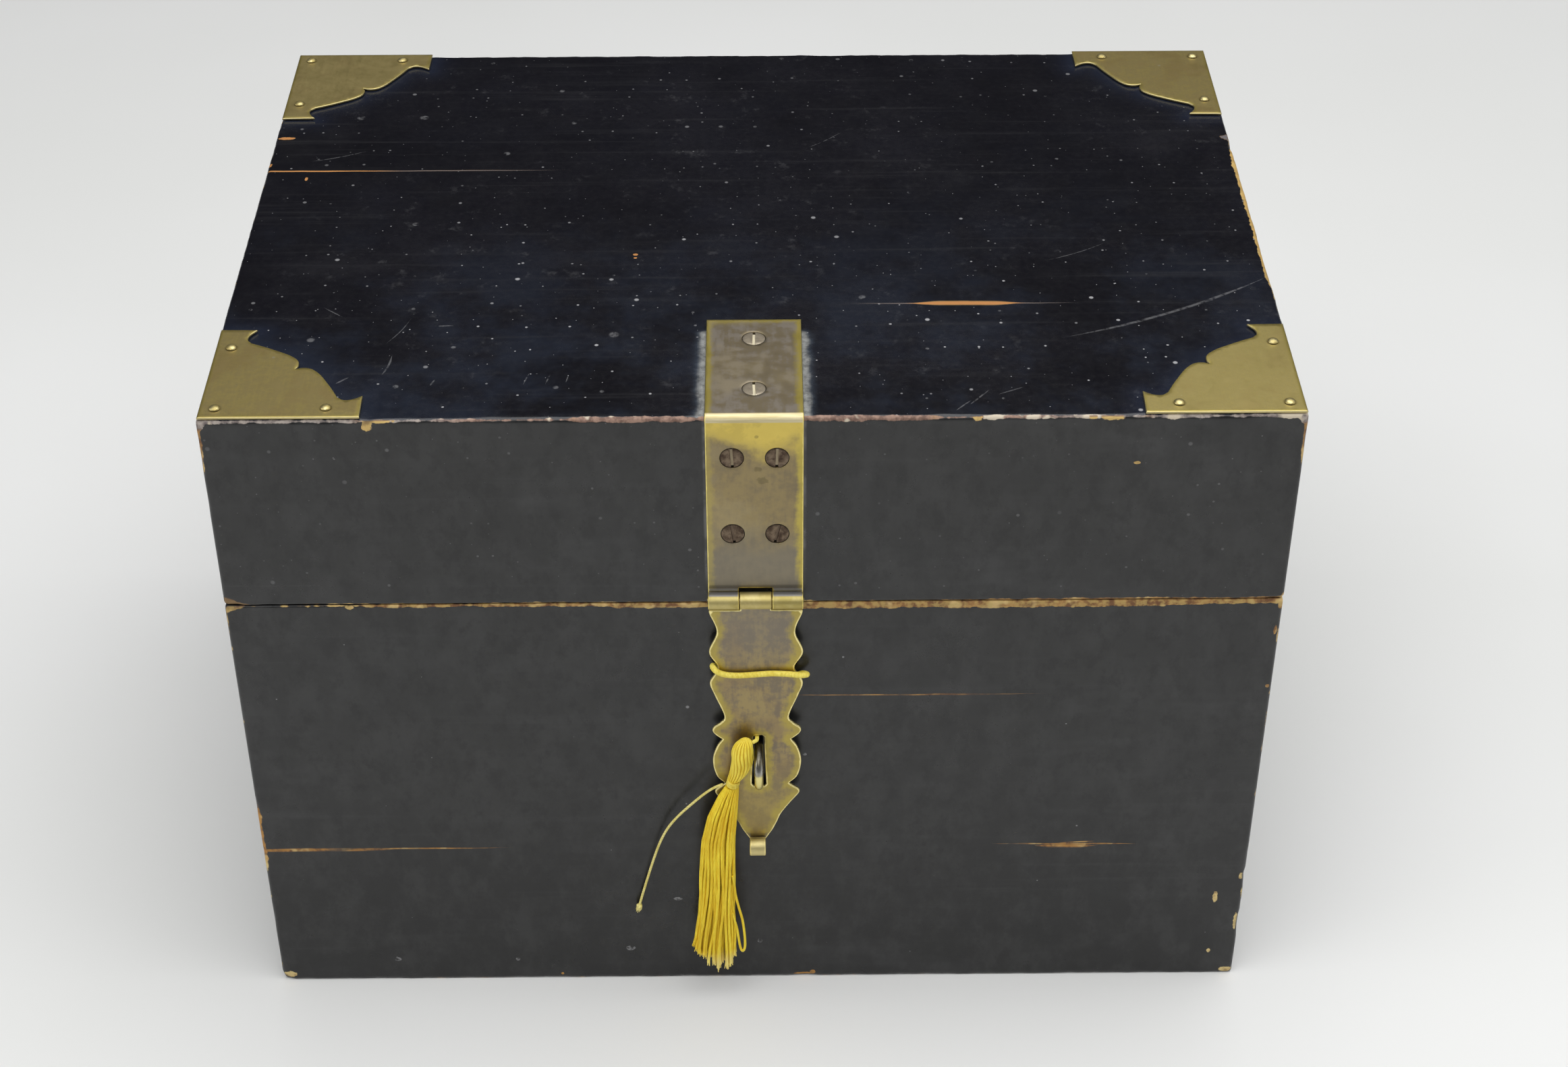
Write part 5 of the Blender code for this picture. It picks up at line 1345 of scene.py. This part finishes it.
def strand(share, angle):
    """A strand from the binding down to the hem, and the frayed tips at its end."""
    ratio = share * rng.uniform(0.92, 1.04)
    across, depth = ratio * math.cos(angle), ratio * math.sin(angle)
    x_low, _, half_low, _ = skirt_at(0.018)
    top = SKIRT_RINGS[0][0] - 0.0003
    bottom = float(np.interp(x_low + half_low * across, *zip(*SKIRT_ENDS)))
    bottom += rng.uniform(-0.0008, 0.0016) + (0.0020 if share < 0.5 else 0.0)
    phase, sway = rng.uniform(0, 6.28), rng.uniform(0.0003, 0.0010)
    points = []
    for k in range(STRAND_STEPS + 1):
        z = top + (bottom - top) * k / STRAND_STEPS
        x, off, half_width, half_depth = skirt_at(z)
        loose = sway * min(1.0, k / STRAND_STEPS * 1.6)
        x += (half_width - STRAND_RADIUS * 0.8) * across + loose * math.sin(phase + 110 * z)
        off -= (half_depth - STRAND_RADIUS * 0.7) * depth + 0.4 * loose * math.cos(phase + 60 * z)
        points.append((x, FRONT - off, z))
    widths = [STRAND_RADIUS * min(1.0, 0.66 + 0.34 * k / 8) for k in range(STRAND_STEPS + 1)]
    widths[-1] = STRAND_RADIUS * rng.uniform(1.05, 1.35)
    runs = [(points, widths)]
    for _ in range(STRAND_TIPS):
        spin, lean = rng.uniform(0, 6.28), rng.uniform(0.0002, 0.0010)
        aside = Vector((math.cos(spin), math.sin(spin) * 0.6, 0.0))
        tip = Vector(points[-1]) + aside * lean - Vector((0, 0, rng.uniform(0.0008, 0.0022)))
        root = Vector(points[-2]) + aside * STRAND_RADIUS * 0.5
        runs.append(([root, (root + tip) / 2 - Vector((0, 0, 0.0004)), tip], [0.00026, 0.00024, 0.00012]))
    return runs


def make_skirt(material):
    """Four rings of strands from the outside in, and one strand that folds back on itself at the right."""
    runs = []
    for share, count in ((0.95, 25), (0.70, 18), (0.42, 12), (0.16, 6)):
        for i in range(count):
            runs.extend(strand(share, 2 * math.pi * (i + rng.uniform(-0.28, 0.28)) / count))
    runs.append((catmull([(x, FRONT - 0.0090, z) for x, z in STRAY_STRAND], 4), 0.00046))
    return tube_object("skirt_strands", runs, 8, material)


# The stage

def make_camera():
    data = bpy.data.cameras.new("camera")
    data.lens, data.sensor_width, data.clip_start = 62.24, 36.0, 0.01
    target, distance = Vector((0.01085, 0.0, 0.1113)), 1.0332
    elevation, azimuth, roll = math.radians(36.96), math.radians(-0.55), math.radians(-0.05)
    back = Vector((math.sin(azimuth) * math.cos(elevation), -math.cos(azimuth) * math.cos(elevation),
                   math.sin(elevation)))
    level = Vector((0, 0, 1)).cross(back).normalized()
    upright = back.cross(level)
    right = math.cos(roll) * level + math.sin(roll) * upright
    up = math.cos(roll) * upright - math.sin(roll) * level
    camera = add_object("camera", data)
    camera.matrix_world = (Matrix.Translation(target + back * distance)
                           @ Matrix((right, up, back)).transposed().to_4x4())
    bpy.context.scene.camera = camera


def area_light(name, place, look_at, size, power):
    data = bpy.data.lights.new(name, "AREA")
    data.shape, data.size, data.size_y = "RECTANGLE", *size
    data.energy = power
    light = add_object(name, data)
    light.location = place
    light.rotation_euler = (Vector(look_at) - Vector(place)).to_track_quat("-Z", "Y").to_euler()


def make_stage():
    bm = bmesh.new()
    bmesh.ops.create_grid(bm, x_segments=4, y_segments=4, size=4.0)
    mesh = bpy.data.meshes.new("floor")
    bm.to_mesh(mesh)
    bm.free()
    mesh.materials.append(floor_material())
    ground = add_object("floor", mesh)
    world = bpy.data.worlds.new("studio")
    world.use_nodes = True
    colour, strength = world.node_tree.nodes["Background"].inputs[:2]
    colour.default_value, strength.default_value = (0.86, 0.86, 1.0, 1.0), 0.05
    bpy.context.scene.world = world
    area_light("key", (0.08, -0.45, 1.9), (0.0, -0.40, 0.0), (3.2, 2.2), 60.0)
    area_light("right", (2.3, -0.5, 1.0), (0.0, 0.0, 0.1), (1.8, 1.4), 9.0)
    area_light("left", (-2.3, -0.5, 1.1), (0.0, 0.0, 0.1), (1.8, 1.4), 13.0)
    bpy.context.scene.view_settings.view_transform = "Standard"


make_camera()
cord_silk = make_cords()
make_tassel(cord_silk)
make_shells()
make_plates()
make_strap()
make_screws()
make_leaf()
make_staple()
dress_pin()
make_stage()
